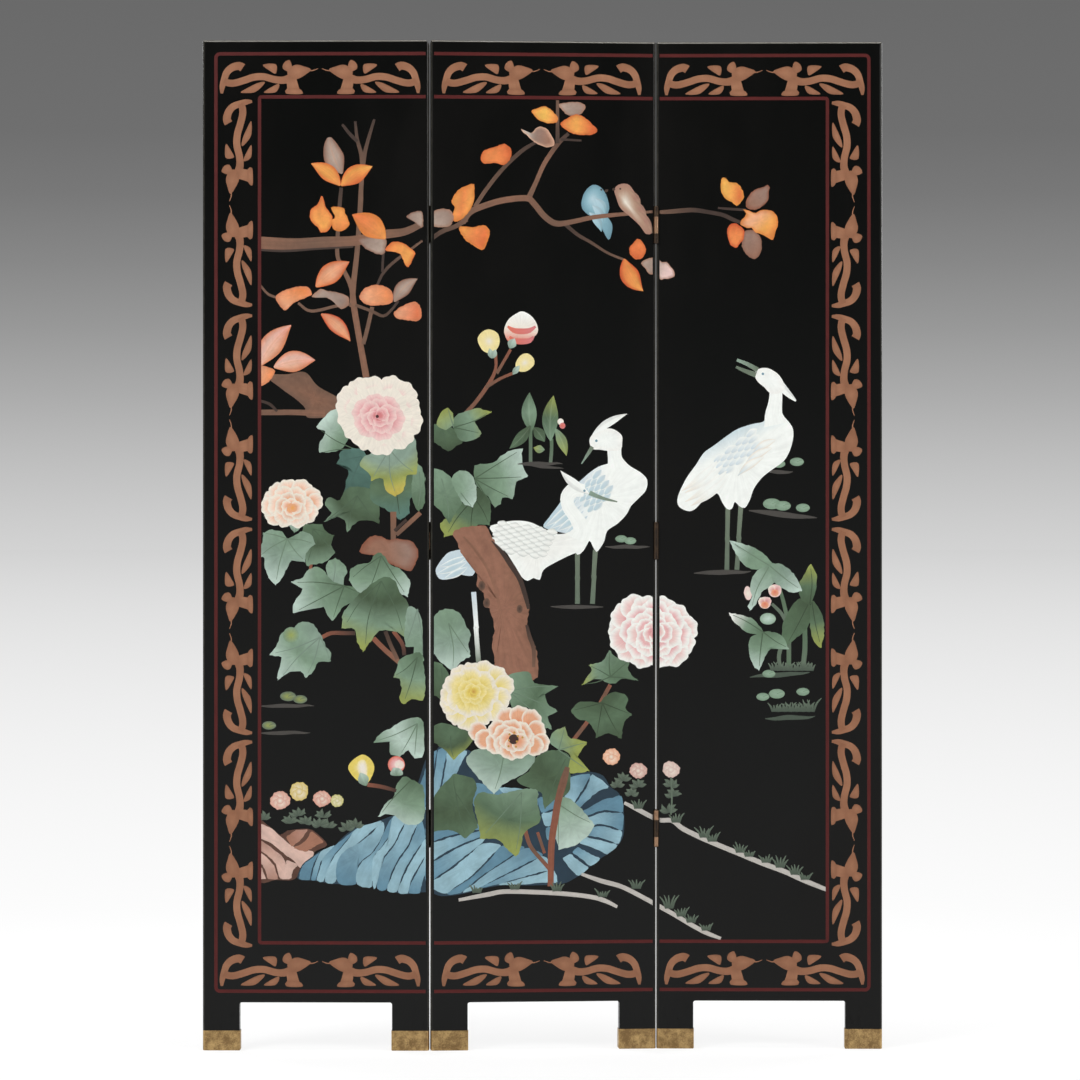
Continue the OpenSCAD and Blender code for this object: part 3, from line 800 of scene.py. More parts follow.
def blade(kind, base, tip, width, tones, rim=None, bend=None, halves=0.18, other=None, blunt=0.0):
    """One pointed leaf from base to tip, bowed to one side by bend times its length."""
    rim = burnt(tones[0]) if kind == "autumn" else rim
    (x0, y0), (x1, y1) = base, tip
    bend = wobble(0.16) if bend is None else bend
    dx, dy = x1 - x0, y1 - y0
    def at(t, share):
        bow = 4*bend*t*(1 - t)
        return (x0 + dx*t - dy*bow, y0 + dy*t + dx*bow, width*share)
    stroke(kind, [at(0, 0.10), at(0.18, 0.62), at(0.42, 1.0), at(0.66, 0.86), at(0.86, 0.42 + 0.3*blunt),
                  at(1, 0.03 + 0.35*blunt)], tones, rim, halves, max(1.6, math.hypot(dx, dy)/12), other)


def curled(outline, tones):
    """A curled leaf. Its tones run from the first point of the outline to the one across from it."""
    patch("curled_leaf", outline, tones, spacing=2.0, slope=(outline[0], outline[len(outline)//2]),
          rim=burnt(tones[0]), ragged=0.35)


def broad(base, outline, tones):
    """A leaf of several lobes with a rib to each tip. Points are (x, y), or (x, y, 1) at a tip."""
    edge, tips = [], []
    for k, point in enumerate(outline):
        if len(point) == 2:
            edge.append(point)
            continue
        x, y = point[:2]
        tips.append((x, y))
        beside = [(x + (q[0] - x)*0.2, y + (q[1] - y)*0.2)
                  for q in (outline[k - 1], outline[(k + 1) % len(outline)])]
        edge += [beside[0], (x, y), beside[1]]
    x, y = max(tips, key=lambda tip: math.dist(tip, base))
    near_tip = (base[0]*0.2 + x*0.8, base[1]*0.2 + y*0.8)
    patch("broad_leaf", edge, tones, spacing=3.0, slope=(base, near_tip), spread=0.6, ragged=0.6)
    rib = tuple(round(0.86*c) for c in tones[0])
    for x, y in tips:
        bow = wobble(0.05)
        middle = (base[0]*0.5 + x*0.5 - (y - base[1])*bow, base[1]*0.5 + y*0.5 + (x - base[0])*bow)
        end = (base[0]*0.12 + x*0.88, base[1]*0.12 + y*0.88)
        stroke("stem", [(*base, 1.2), (*middle, 0.9), (*end, 0.4)], [rib], spacing=4.0)


PETAL_POINTS, DISC_POINTS = 28, 10


def scalloped(centre, radius, heart, scallops=5, depth=0.13, stretch=1.0):
    """An outline like a petal's, scalloped on the side away from the heart."""
    toward = math.atan2(centre[1] - heart[1], centre[0] - heart[0])
    outline = []
    for k in range(PETAL_POINTS):
        a = 2*math.pi*k/PETAL_POINTS
        outward = max(0.0, math.cos(a))
        r = radius*(1 + depth*outward*(abs(math.sin(scallops*a/1.2)) - 0.5) + wobble(0.025))
        u, v = r*math.cos(a), r*math.sin(a)*stretch
        outline.append((centre[0] + u*math.cos(toward) - v*math.sin(toward),
                        centre[1] + u*math.sin(toward) + v*math.cos(toward)))
    return outline


def petal(centre, radius, heart, tones, rim=None, stretch=1.1):
    """A petal round centre whose strokes run out from the flower's heart."""
    root = (centre[0]*0.45 + heart[0]*0.55, centre[1]*0.45 + heart[1]*0.55)
    inside = math.hypot(root[0] - centre[0], root[1] - centre[1])
    if inside > radius*0.75:
        k = radius*0.75/inside
        root = (centre[0] + (root[0] - centre[0])*k, centre[1] + (root[1] - centre[1])*k)
    patch("petal", scalloped(centre, radius, heart, stretch=stretch), tones, heart=root, rim=rim,
          spacing=1.6, turns=3.0)


def ring_of_petals(heart, distance, radius, count, tones, rim=None, squash=1.0, turn=0.0):
    for k in range(count):
        a = turn + 2*math.pi*k/count + wobble(0.12)
        d = distance*(1 + wobble(0.08))
        petal((heart[0] + d*math.cos(a), heart[1] + d*math.sin(a)*squash), radius*(1 + wobble(0.1)),
              heart, tones, rim)


def disc(kind, centre, radius, tones, rim=None, squash=1.0):
    patch(kind, [(centre[0] + radius*math.cos(a), centre[1] + radius*squash*math.sin(a))
                 for a in (2*math.pi*k/DISC_POINTS for k in range(DISC_POINTS))], tones, rim=rim, spacing=1.6)


def seeds(heart, spread, count, tone):
    for k in range(count):
        a, d = 2*math.pi*k/count + wobble(0.3), spread*(0.35 + 0.65*chance.random())
        disc("stem", (heart[0] + d*math.cos(a), heart[1] + d*math.sin(a)), 1.1, [tone])


def branch(points, tones):
    stroke("bark", points, tones)


def stem(points, tones):
    stroke("stem", points, tones)


print("blades, broad leaves, petals, branches and stems ready")

# %% Small plants, pads and grass
def small_flower(heart, radius, tones, eye=None):
    ring_of_petals(heart, radius*0.5, radius*0.58, 6, tones, squash=0.9)
    disc("petal", heart, radius*0.4, [eye or tones[0], tones[-1]])


def feathery(base, reach, tones, count=7):
    """A spray of narrow leaflets that spread upwards from the base."""
    for k in range(count):
        a = math.radians(20 + 140*k/(count - 1)) + wobble(0.08)
        r = reach*(0.75 + 0.25*math.sin(a))*(1 + wobble(0.1))
        blade("leaf", base, (base[0] + r*math.cos(a), base[1] + r*math.sin(a)*0.8), 4.5, tones)


def lily_pad(centre, radius, tones=(PAD_GREEN, GREEN), squash=0.6):
    disc("leaf", centre, radius, list(tones), squash=squash)
    stroke("stem", [(centre[0], centre[1], 0.9), (centre[0] + radius*0.8, centre[1] + radius*0.3, 0.5)],
           [tones[-1]])


def water_line(left, right, width=4.5, tones=(DULL_WATER,)):
    """A long low ripple, thickest in the middle."""
    (x0, y0), (x1, y1) = left, right
    row = [(x0 + (x1 - x0)*t, y0 + (y1 - y0)*t + wobble(0.6), width*w)
           for t, w in ((0, 0.15), (0.2, 0.7), (0.45, 1.0), (0.7, 0.8), (0.88, 0.5), (1, 0.12))]
    stroke("stem", row, list(tones), spacing=4.0)


def tuft(base, height, count=6, tones=(FAINT_GREEN, DIM_GREEN)):
    for k in range(count):
        lean = (k - (count - 1)/2)/count*1.5 + wobble(0.1)
        r = height*(1 + wobble(0.25))
        foot = base[0] + 1.5*(k - count/2)
        stroke("stem", [(foot, base[1], 2.4), (foot + lean*r*0.4, base[1] + r*0.6, 1.9),
                        (foot + lean*r, base[1] + r, 0.7)], list(tones), spacing=2.5)


print("small flowers, pads, water lines and grass ready")

# %% [markdown]
# ## The left leaf's tree
#
# A brown branch comes in from the left edge and carries autumn leaves, orange and yellow with taupe
# undersides. Thin stems are laid first and the leaves over them, as the painter did. Drawing the leaves
# first would put the wood on top of them. Flat leaves are blades. A curled leaf has no such axis, so its
# outline is drawn instead.

# %% Left leaf: branch and autumn leaves
branch([(-168, 928, 2.5), (-174, 908, 3.5), (-178, 891, 4), (-181, 862, 4.5), (-182, 840, 5), (-185, 798, 5),
    (-189, 761, 5.5), (-190, 741, 5.5)], [DARK_BARK, BARK, BARK, TRUNK])
branch([(-201, 860, 3.5), (-203, 836, 4), (-205, 796, 4), (-201, 783, 4), (-191, 761, 5), (-188, 739, 6),
    (-183, 710, 6), (-176, 671, 6.5)], [DARK_BARK, BARK, TRUNK, TRUNK])
branch([(-187, 926, 2.5), (-185, 908, 3.5), (-181, 893, 4), (-180, 878, 4)], TWIG)
branch([(-200, 923, 2.5), (-192, 913, 3.5), (-185, 906, 3.5)], [DARK_BARK])
branch([(-170, 741, 4), (-175, 719, 4), (-179, 704, 4)], [BARK])
branch([(-285, 805, 13), (-250, 803, 13), (-217, 805, 12), (-187, 807, 10), (-160, 813, 9), (-138, 816, 7.5),
    (-120, 824, 6)], [TRUNK, BARK, TRUNK, BARK])
branch([(-283, 798, 2), (-257, 797, 2.5), (-224, 799, 2), (-189, 801, 2)], [DARK_BARK])
branch([(-120, 807, 2), (-147, 787, 3), (-159, 775, 3), (-165, 763, 2.5)], BOUGH)
branch([(-159, 796, 2.5), (-160, 776, 2.5)], [DARK_BARK])
branch([(-282, 763, 2), (-274, 754, 2.5), (-264, 750, 2.5)], [BARK])
branch([(-191, 744, 3), (-206, 742, 3), (-231, 737, 3), (-244, 745, 2.5)], [BARK])
branch([(-187, 743, 3), (-171, 737, 3), (-159, 732, 3), (-151, 738, 2.5), (-144, 747, 2.5)], BOUGH)
blade("autumn", (-200, 874), (-213, 910), 20, [TAUPE, PALE_TAUPE, TAUPE], bend=0.06, other=PALE_TAUPE,
    blunt=0.5)
blade("autumn", (-202, 862), (-231, 884), 16, [ORANGE, AMBER, ORANGE], bend=-0.08, other=AMBER)
blade("autumn", (-201, 862), (-170, 881), 18, [ORANGE, DEEP_ORANGE, AMBER], bend=0.06, other=YELLOW)
curled([(-221, 852), (-224, 844), (-232, 837), (-231, 827), (-224, 820), (-221, 815), (-212, 819),
    (-210, 831), (-216, 840), (-218, 848)], [ORANGE, AMBER])
curled([(-211, 840), (-199, 840), (-197, 835), (-193, 823), (-200, 817), (-208, 818), (-211, 827),
    (-207, 831)], [AMBER, ORANGE])
curled([(-183, 809), (-158, 811), (-157, 798), (-160, 793), (-171, 796), (-180, 802)], [TAUPE, PALE_TAUPE])
curled([(-157, 798), (-149, 806), (-138, 804), (-128, 796), (-128, 792), (-134, 781), (-138, 785),
    (-142, 793), (-149, 796)], [ORANGE, AMBER])
curled([(-136, 831), (-127, 836), (-120, 835), (-120, 820), (-128, 826)], [TAUPE, PALE_TAUPE])
curled([(-257, 738), (-265, 746), (-266, 752), (-259, 757), (-246, 761), (-234, 761), (-230, 754),
    (-235, 751), (-248, 745)], PEACHY)
curled([(-230, 751), (-222, 759), (-214, 757), (-202, 755), (-194, 751), (-194, 743), (-201, 739),
    (-209, 746), (-217, 751)], DRY)
curled([(-183, 750), (-178, 759), (-167, 763), (-156, 761), (-150, 755), (-150, 746), (-160, 743),
    (-174, 743)], PEACHY)
curled([(-148, 736), (-138, 743), (-127, 746), (-122, 741), (-121, 732), (-125, 727), (-136, 728),
    (-146, 730)], [PEACH, DEEP_ORANGE])
blade("autumn", (-157, 809), (-190, 833), 23, GLOWING, bend=-0.05, other=ORANGE)
blade("autumn", (-226, 761), (-193, 786), 20, [ORANGE, PEACH, DEEP_ORANGE], bend=0.05, other=PEACH)
blade("autumn", (-221, 734), (-192, 707), 15, [DEEP_ORANGE, PEACH, ORANGE], bend=0.06, other=PEACH)
blade("autumn", (-148, 746), (-125, 769), 15, [TAUPE, PALE_TAUPE, TAUPE], bend=0.1, other=PALE_TAUPE)
patch("bark", [(-276, 673), (-255, 674), (-237, 676), (-224, 662), (-202, 649), (-193, 634), (-215, 631),
    (-235, 631), (-237, 640), (-246, 649), (-261, 660)], [TRUNK, BARK], heart=(-226, 649), rim=BARK)
branch([(-284, 636, 5.5), (-264, 636, 5.5), (-246, 636, 5.5), (-217, 635, 6.5)], [BARK, TRUNK])
branch([(-283, 648, 2.5), (-272, 644, 3), (-265, 637, 2.5)], [DARK_BARK])
blade("autumn", (-283, 682), (-251, 723), 22, [PEACH, PEACH, DEEP_ORANGE], bend=0.06, other=PALE_PINK)
blade("autumn", (-268, 681), (-227, 688), 21, [PEACH, PEACH, DEEP_ORANGE], bend=0.06, other=PALE_PINK)
curled([(-283, 682), (-274, 681), (-267, 677), (-273, 667), (-283, 663)], PEACHY)
print("left leaf's tree:", len(SHAPES), "shapes so far")

# %% [markdown]
# ## Rocks and water
#
# Two garden rocks stand at the foot of the picture. The blue one runs across the first joint, so it is
# drawn once and laid on both leaves. A rock is laid dark first, and paler slabs go over it with narrow
# gaps, so the dark shows as cracks. Dark lines on a pale rock would look drawn on top instead.

# %% Slabs
def evenly(line, count):
    """The same line with count points, evenly spaced."""
    points = np.array(line, float)
    run = np.concatenate([[0], np.cumsum(np.linalg.norm(np.diff(points, axis=0), axis=1))])
    at = np.linspace(0, run[-1], count)
    return np.stack([np.interp(at, run, points[:, 0]), np.interp(at, run, points[:, 1])], axis=1)


SLAB_POINTS = 6                 # along each long side of a slab


def slabs(lines, tones, crack=1.7):
    """One slab between each line and the next."""
    for k, (a, b) in enumerate(zip(lines, lines[1:])):
        a, b = evenly(a, SLAB_POINTS), evenly(b, SLAB_POINTS)
        between = b - a
        width = np.maximum(np.linalg.norm(between, axis=1), 0.1)[:, None]
        inset = between*np.minimum(crack/2/width, 0.35)
        outline = np.concatenate([a + inset, (b - inset)[::-1]])
        light, dark = tones[k % len(tones)]
        patch("rock", [tuple(p) for p in outline], [light, dark], spacing=3.0, turns=1.5,
              slope=(tuple(outline[0]), tuple(outline[SLAB_POINTS])), ragged=0.35)


print("a slab lies between two lines")

# %% The rocks
BLUES = [(ROCK_BLUE, ROCK_BLUE), (ROCK_PALE, ROCK_BLUE), (ROCK_BLUE, ROCK_PALE), (ROCK_PALE, ROCK_PALE)]
PINKS = [(ROCK_PINK, ROCK_PINK), (ROCK_BROWN, ROCK_PINK), (ROCK_PINK, ROCK_BROWN)]
patch("rock", [(-284, 226), (-275, 225), (-262, 215), (-255, 219), (-235, 221), (-226, 217), (-215, 205),
    (-226, 199), (-238, 188), (-247, 171), (-266, 170), (-284, 171)], [ROCK_SEAM], spacing=4.0)
slabs([[(-283, 226), (-275, 225), (-262, 214), (-248, 202), (-228, 197)],
    [(-284, 213), (-270, 206), (-257, 195), (-244, 186), (-240, 182)]], PINKS, 0.5)
slabs([[(-284, 211), (-270, 204), (-258, 193), (-250, 172)],
    [(-284, 200), (-274, 193), (-266, 184), (-263, 171)],
    [(-284, 188), (-279, 182), (-275, 171)],
    [(-285, 180), (-285, 176), (-285, 171)]], PINKS[1:], 2.4)
slabs([[(-244, 185), (-249, 178), (-250, 172)], [(-256, 190), (-258, 180), (-258, 171)]], PINKS, 1.5)
slabs([[(-256, 213), (-247, 220), (-238, 220)],
    [(-250, 203), (-240, 210), (-234, 220)]], [(ROCK_RUST, ROCK_BROWN)], 1.0)
slabs([[(-249, 202), (-238, 208), (-231, 219)],
    [(-236, 198), (-228, 202), (-218, 208)]], [(ROCK_RUST, ROCK_RUST)], 1.5)

patch("rock", [(-245, 172), (-240, 185), (-233, 191), (-220, 200), (-209, 203), (-200, 212), (-187, 222),
    (-172, 226), (-158, 231), (-150, 234), (-140, 236), (-130, 250), (-124, 268), (-116, 292), (-111, 294),
    (-102, 305), (-93, 299), (-74, 299), (-66, 281), (-40, 262), (0, 260), (25, 273), (34, 276), (48, 277),
    (60, 273), (67, 262), (76, 255), (80, 240), (81, 224), (79, 210), (69, 198), (58, 191), (46, 182),
    (30, 170), (15, 165), (-22, 164), (-34, 165), (-57, 162), (-81, 156), (-102, 154), (-116, 158),
    (-139, 156), (-154, 160), (-185, 166), (-209, 166), (-226, 169), (-239, 170)], [ROCK_DEEP],
    heart=(-75, 212), spacing=4.0)
slabs([[(-239, 185), (-243, 178), (-244, 171)],
    [(-222, 198), (-228, 186), (-232, 170)],
    [(-207, 205), (-220, 192), (-226, 170)],
    [(-186, 221), (-204, 199), (-214, 186), (-218, 168)],
    [(-160, 229), (-180, 209), (-202, 196), (-208, 182), (-206, 168)]], BLUES)
slabs([[(-160, 229), (-176, 212), (-200, 198), (-207, 184), (-204, 167)],
    [(-158, 218), (-166, 200), (-186, 184), (-186, 166)],
    [(-150, 233), (-152, 214), (-172, 190), (-170, 163)],
    [(-134, 234), (-150, 202), (-162, 188), (-166, 162)],
    [(-122, 232), (-134, 204), (-148, 184), (-156, 160)],
    [(-117, 212), (-130, 192), (-140, 174), (-145, 158)],
    [(-116, 196), (-124, 182), (-132, 168), (-134, 157)],
    [(-115, 182), (-118, 172), (-122, 157)]], BLUES[1:])
slabs([[(-128, 252), (-121, 270), (-115, 291)],
    [(-118, 240), (-112, 262), (-106, 300)],
    [(-108, 244), (-102, 266), (-96, 300)],
    [(-94, 250), (-88, 272), (-76, 298)]], BLUES)
slabs([[(-116, 226), (-93, 230), (-62, 226)],
    [(-116, 206), (-92, 214), (-60, 220)],
    [(-116, 186), (-86, 203), (-58, 214)],
    [(-116, 166), (-92, 182), (-62, 206)],
    [(-98, 156), (-70, 174), (-42, 204)],
    [(-82, 157), (-60, 175), (-18, 202)],
    [(-64, 162), (-38, 175), (0, 194)],
    [(-46, 165), (-24, 171), (10, 180)],
    [(-22, 165), (-4, 166), (14, 166)]], BLUES, 2.2)
slabs([[(-80, 268), (-72, 246), (-62, 230)],
    [(-44, 262), (-34, 244), (-26, 228)],
    [(-6, 258), (-4, 244), (-6, 230)]], BLUES, 2.2)
slabs([[(18, 248), (24, 262), (26, 272)],
    [(30, 244), (42, 262), (48, 275)],
    [(36, 240), (54, 256), (66, 262)]], BLUES[1:], 2.2)
slabs([[(38, 238), (58, 250), (78, 254)],
    [(40, 231), (60, 238), (80, 236)],
    [(41, 222), (60, 224), (79, 218)],
    [(40, 213), (58, 210), (75, 204)],
    [(36, 205), (52, 199), (63, 194)]], BLUES, 2.2)
slabs([[(35, 203), (48, 196), (58, 191)],
    [(28, 196), (38, 188), (46, 182)],
    [(18, 190), (26, 179), (34, 172)]], BLUES[2:], 3.0)
slabs([[(-6, 252), (12, 254), (26, 244)],
    [(-2, 236), (14, 240), (34, 232)],
    [(2, 222), (18, 226), (37, 218)],
    [(4, 208), (20, 210), (34, 206)]], BLUES, 2.2)
for x, y in ((-279, 234), (-252, 230), (-244, 238), (-237, 230), (-219, 236), (-214, 226), (-222, 228),
    (-187, 227), (-196, 224)):
    feathery((x, y - 4), 11, FERN, 5)
for x, y, radius, tone in ((-262, 249, 9, (216, 160, 142)), (-243, 258, 9, (214, 190, 108)),
    (-220, 251, 8, (214, 152, 134)), (-205, 249, 6, (200, 194, 120))):
    small_flower((x, y), radius, [CREAM, tone])
print("rocks and their flowers:", len(SHAPES), "shapes so far")

# %% Water and the ground
water_line((-283, 343), (-228, 344), 4)
lily_pad((-254, 353), 8, (LIME, DIM_GREEN))
lily_pad((-242, 350), 7, (LIME, DIM_GREEN))
water_line((-283, 316), (-232, 317), 4)
lily_pad((-273, 324), 7, (LIME, DIM_GREEN))

# %% [markdown]
# ## Peonies of the left leaf
#
# The pink peony is a rose-like ball: wide cream petals outside, then ring after ring of smaller and pinker
# petals that close over a dark eye. The outer petals are laid first and each inner ring covers the feet of
# the one before, as on the real flower. One flat rosette would be quicker, but its petals would not
# overlap.

# %% Left leaf: broad leaves behind the pink peony
broad((-187, 599), [(-209, 639), (-217, 632), (-226, 621, 1), (-217, 616), (-223, 604), (-223, 596, 1),
    (-207, 597), (-198, 603), (-191, 619), (-198, 636)], FRESH)
broad((-180, 592), [(-202, 597), (-203, 590), (-206, 585, 1), (-197, 587), (-194, 577), (-196, 568),
    (-199, 553, 1), (-187, 550), (-172, 561), (-171, 577), (-180, 599)], [TEAL, DEEP_TEAL])
broad((-185, 553), [(-218, 527, 1), (-211, 536), (-217, 543), (-214, 551), (-202, 549), (-194, 561),
    (-172, 560), (-163, 553), (-163, 537), (-163, 525, 1), (-172, 528), (-185, 527), (-195, 516, 1),
    (-198, 528), (-209, 533)], SHADED)
broad((-150, 577), [(-171, 566), (-171, 548), (-158, 540), (-150, 535), (-142, 529, 1), (-133, 536),
    (-132, 550), (-124, 555), (-120, 568), (-128, 581), (-158, 577)], [DEEP_GREEN, DARK_GREEN, TEAL])
broad((-123, 577), [(-127, 584), (-119, 577), (-118, 544), (-124, 538, 1), (-128, 544), (-131, 562)],
    [GREEN, DARK_GREEN])
broad((-153, 599), [(-178, 592), (-182, 583), (-172, 574), (-171, 568, 1), (-160, 570), (-158, 562),
    (-153, 555), (-147, 552, 1), (-139, 558), (-136, 570), (-135, 573), (-126, 574, 1), (-125, 584),
    (-127, 607), (-134, 610), (-161, 599)], [GREY_GREEN, GREY_GREEN, LIME, (196, 178, 84)])

# %% Left leaf: two peonies
def peony(heart, outer, tones, rings, eye=None, lift=0.0):
    """outer holds (x, y, radius) of the outer petals. Each ring is (distance, radius, count, tones)."""
    patch("petal", [(x, y) for x, y, _ in outer], tones, heart=heart)
    for x, y, radius in outer:
        petal((x, y), radius, heart, tones, tones[-1])
    for k, (distance, radius, count, ring_tones) in enumerate(rings):
        middle = (heart[0], heart[1] + lift*(k + 1))
        ring_of_petals(middle, distance, radius, count, ring_tones, rim=ring_tones[-1], squash=0.85,
                       turn=0.7*k)
    if eye:
        disc("petal", heart, eye, [SEED, DARK_BARK])
        seeds(heart, eye*1.9, 8, GOLD)


BLUSH_TONES, PINK_TONES = [PINK, PALE_PINK, CREAM, CREAM], [ROSE, ROSE, PINK, PALE_PINK]
ROSE_TONES = [ROSE, ROSE, PINK]
peony((-164, 632), [(-193, 650, 12), (-183, 659, 11), (-171, 659, 13), (-150, 659, 13), (-139, 653, 13),
    (-134, 640, 12), (-133, 626, 13), (-142, 613, 13), (-161, 607, 14), (-177, 612, 13), (-188, 621, 12),
    (-193, 632, 12), (-194, 643, 12)], BLUSH_TONES, [(20, 13.5, 7, BLUSH_TONES), (14, 11.5, 6, PINK_TONES),
    (9, 9, 5, PINK_TONES), (5, 6.5, 4, PINK_TONES), (2.5, 4, 3, ROSE_TONES)])
disc("petal", (-165, 632), 1.6, [SEED])
broad((-248, 528), [(-254, 527), (-252, 522), (-248, 516, 1), (-242, 521), (-240, 527)], [PALE_GREEN, GREEN])
PEACH_TONES = [PEACH, PEACH, PALE_PEACH, CREAM]
peony((-251, 544), [(-270, 549, 9), (-264, 557, 9), (-254, 560, 9.5), (-240, 559, 10), (-230, 551, 9.5),
    (-227, 547, 8), (-234, 536, 9.5), (-243, 530, 9), (-259, 531, 9), (-268, 533, 9), (-272, 542, 9)],
    PEACH_TONES, [(13, 9.5, 6, PEACH_TONES), (8.5, 7.5, 5, [AMBER, PEACH, CREAM]),
    (4.5, 5.5, 4, PEACH_TONES), (2, 3.5, 3, [AMBER, PEACH])], lift=-0.8)
print("two peonies:", len(SHAPES), "shapes so far")

# %% Left leaf: the broad leaves below
stem([(-149, 537, 6), (-149, 522, 5.5), (-149, 507, 5)], [TRUNK, BARK])
stem([(-146, 514, 4), (-134, 525, 4.5), (-122, 536, 4.5)], [BARK, TRUNK])
stem([(-148, 518, 3), (-136, 529, 3)], [DARK_BARK])
stem([(-231, 485, 3), (-232, 478, 3)], [RED_WOOD])
broad((-229, 520), [(-239, 522), (-229, 525), (-220, 524), (-216, 517), (-208, 513, 1), (-211, 504),
    (-207, 496, 1), (-217, 487), (-235, 483, 1), (-240, 500)], SHADED)
broad((-255, 510), [(-284, 492, 1), (-280, 507), (-279, 516, 1), (-270, 519), (-260, 517), (-255, 510),
    (-249, 513), (-239, 517), (-230, 513), (-227, 505, 1), (-235, 498), (-237, 487, 1), (-251, 488),
    (-255, 480), (-262, 468), (-267, 464, 1), (-273, 471), (-277, 481), (-278, 491)], SOFT)
curled([(-182, 496), (-180, 504), (-172, 512), (-163, 513), (-154, 509), (-145, 510), (-130, 507),
    (-124, 496), (-127, 485), (-132, 478), (-143, 481), (-156, 487), (-167, 493)],
    [FADED_BROWN, FADED_BROWN, TAUPE])
broad((-209, 466), [(-216, 480), (-213, 488), (-207, 491, 1), (-198, 485), (-195, 478), (-198, 471),
    (-200, 461), (-211, 465)], [GREY_GREEN, GREEN])
broad((-198, 463), [(-251, 467, 1), (-239, 472), (-233, 480), (-222, 481), (-211, 469), (-199, 464),
    (-185, 461), (-181, 456, 1), (-188, 448), (-198, 443), (-204, 435), (-210, 428, 1), (-216, 436),
    (-219, 442), (-229, 440), (-249, 436, 1), (-249, 444), (-244, 453), (-240, 460)], FRESH)
broad((-161, 493), [(-193, 469, 1), (-191, 480), (-182, 485), (-172, 487), (-169, 493), (-161, 496),
    (-152, 485), (-143, 480), (-133, 469), (-133, 460), (-135, 452, 1), (-145, 457), (-151, 467),
    (-161, 465), (-169, 457), (-176, 452, 1), (-187, 460)], FRESH)
stem([(-220, 412, 4), (-211, 416, 4), (-198, 416, 4), (-187, 416, 4)], RED_STEM)
stem([(-169, 411, 5), (-158, 400, 5), (-142, 386, 5)], [RED_WOOD, TRUNK])
stem([(-157, 418, 4), (-152, 405, 4), (-145, 390, 4)], TWIG)
stem([(-149, 418, 4), (-140, 405, 4), (-138, 394, 4)], RED_STEM)
broad((-161, 468), [(-200, 421, 1), (-199, 436), (-187, 451), (-172, 464), (-158, 472), (-147, 468),
    (-143, 457), (-134, 444), (-135, 427), (-137, 412, 1), (-147, 418), (-163, 418), (-171, 408),
    (-179, 397, 1), (-185, 407), (-188, 420)], [DARK_GREEN, DEEP_GREEN, GREEN, LIME])
broad((-125, 440), [(-137, 429), (-134, 442), (-125, 439), (-120, 425), (-120, 403), (-119, 388, 1),
    (-128, 394), (-129, 402), (-137, 403, 1), (-138, 416)], [GREY_GREEN, GREEN])
broad((-222, 412), [(-273, 394, 1), (-266, 403), (-260, 416), (-250, 419), (-242, 427), (-231, 426),
    (-224, 418), (-219, 409), (-216, 402), (-211, 396), (-212, 388, 1), (-224, 387), (-229, 378),
    (-236, 371, 1), (-242, 378), (-253, 377), (-264, 369, 1), (-265, 373), (-262, 383), (-261, 392)],
    [GREY_GREEN, GREEN, PALE_GREEN])
disc("broad_leaf", (-251, 414), 8, [LIME, GREEN])
broad((-125, 392), [(-149, 372, 1), (-145, 381), (-143, 389), (-130, 396), (-120, 393), (-118, 352),
    (-130, 350), (-139, 345, 1), (-143, 350), (-141, 361), (-143, 371)], YELLOWING)
broad((-125, 326), [(-169, 307, 1), (-163, 315), (-150, 322), (-137, 330), (-120, 329), (-119, 295),
    (-128, 291, 1), (-134, 299), (-143, 293, 1), (-151, 295), (-153, 302), (-152, 309), (-161, 308)],
    [GREEN, PALE_GREEN, GREEN])
broad((-132, 269), [(-164, 233, 1), (-158, 245), (-148, 254), (-146, 264), (-139, 273), (-128, 269),
    (-119, 261), (-119, 231), (-134, 225), (-145, 232), (-154, 236)], FRESH)
stem([(-175, 265, 4), (-161, 263, 4), (-146, 259, 3.5)], RED_STEM)
patch("petal", [(-194, 281), (-190, 289), (-180, 295), (-172, 291), (-168, 283), (-170, 274), (-176, 266),
    (-186, 270)], [CREAM, LEMON, LEMON], heart=(-181, 282))
patch("petal", [(-184, 288), (-178, 290), (-175, 282), (-176, 271), (-182, 274), (-185, 280)],
    [CREAM, CREAM, PALE_YELLOW])
blade("leaf", (-176, 264), (-182, 277), 11, LIGHT, bend=0.0)
disc("petal", (-146, 285), 8.5, [PALE_PINK, PINK, CORAL])
petal((-143, 285), 4.5, (-146, 276), [PALE_PINK, CREAM, PALE_PINK])
blade("leaf", (-145, 274), (-149, 282), 11, LIGHT, bend=0.0)
blade("leaf", (-145, 274), (-142, 281), 9, LIGHT, bend=0.0)
print("left leaf's greenery:", len(SHAPES), "shapes so far")

# %% [markdown]
# ## The branch over the middle
#
# A second branch crosses the middle leaf from joint to joint, with two small birds on it, one blue and one
# tan. The blue one sits behind the twig, so it is laid before it, and the tan one in front, so it comes
# after.

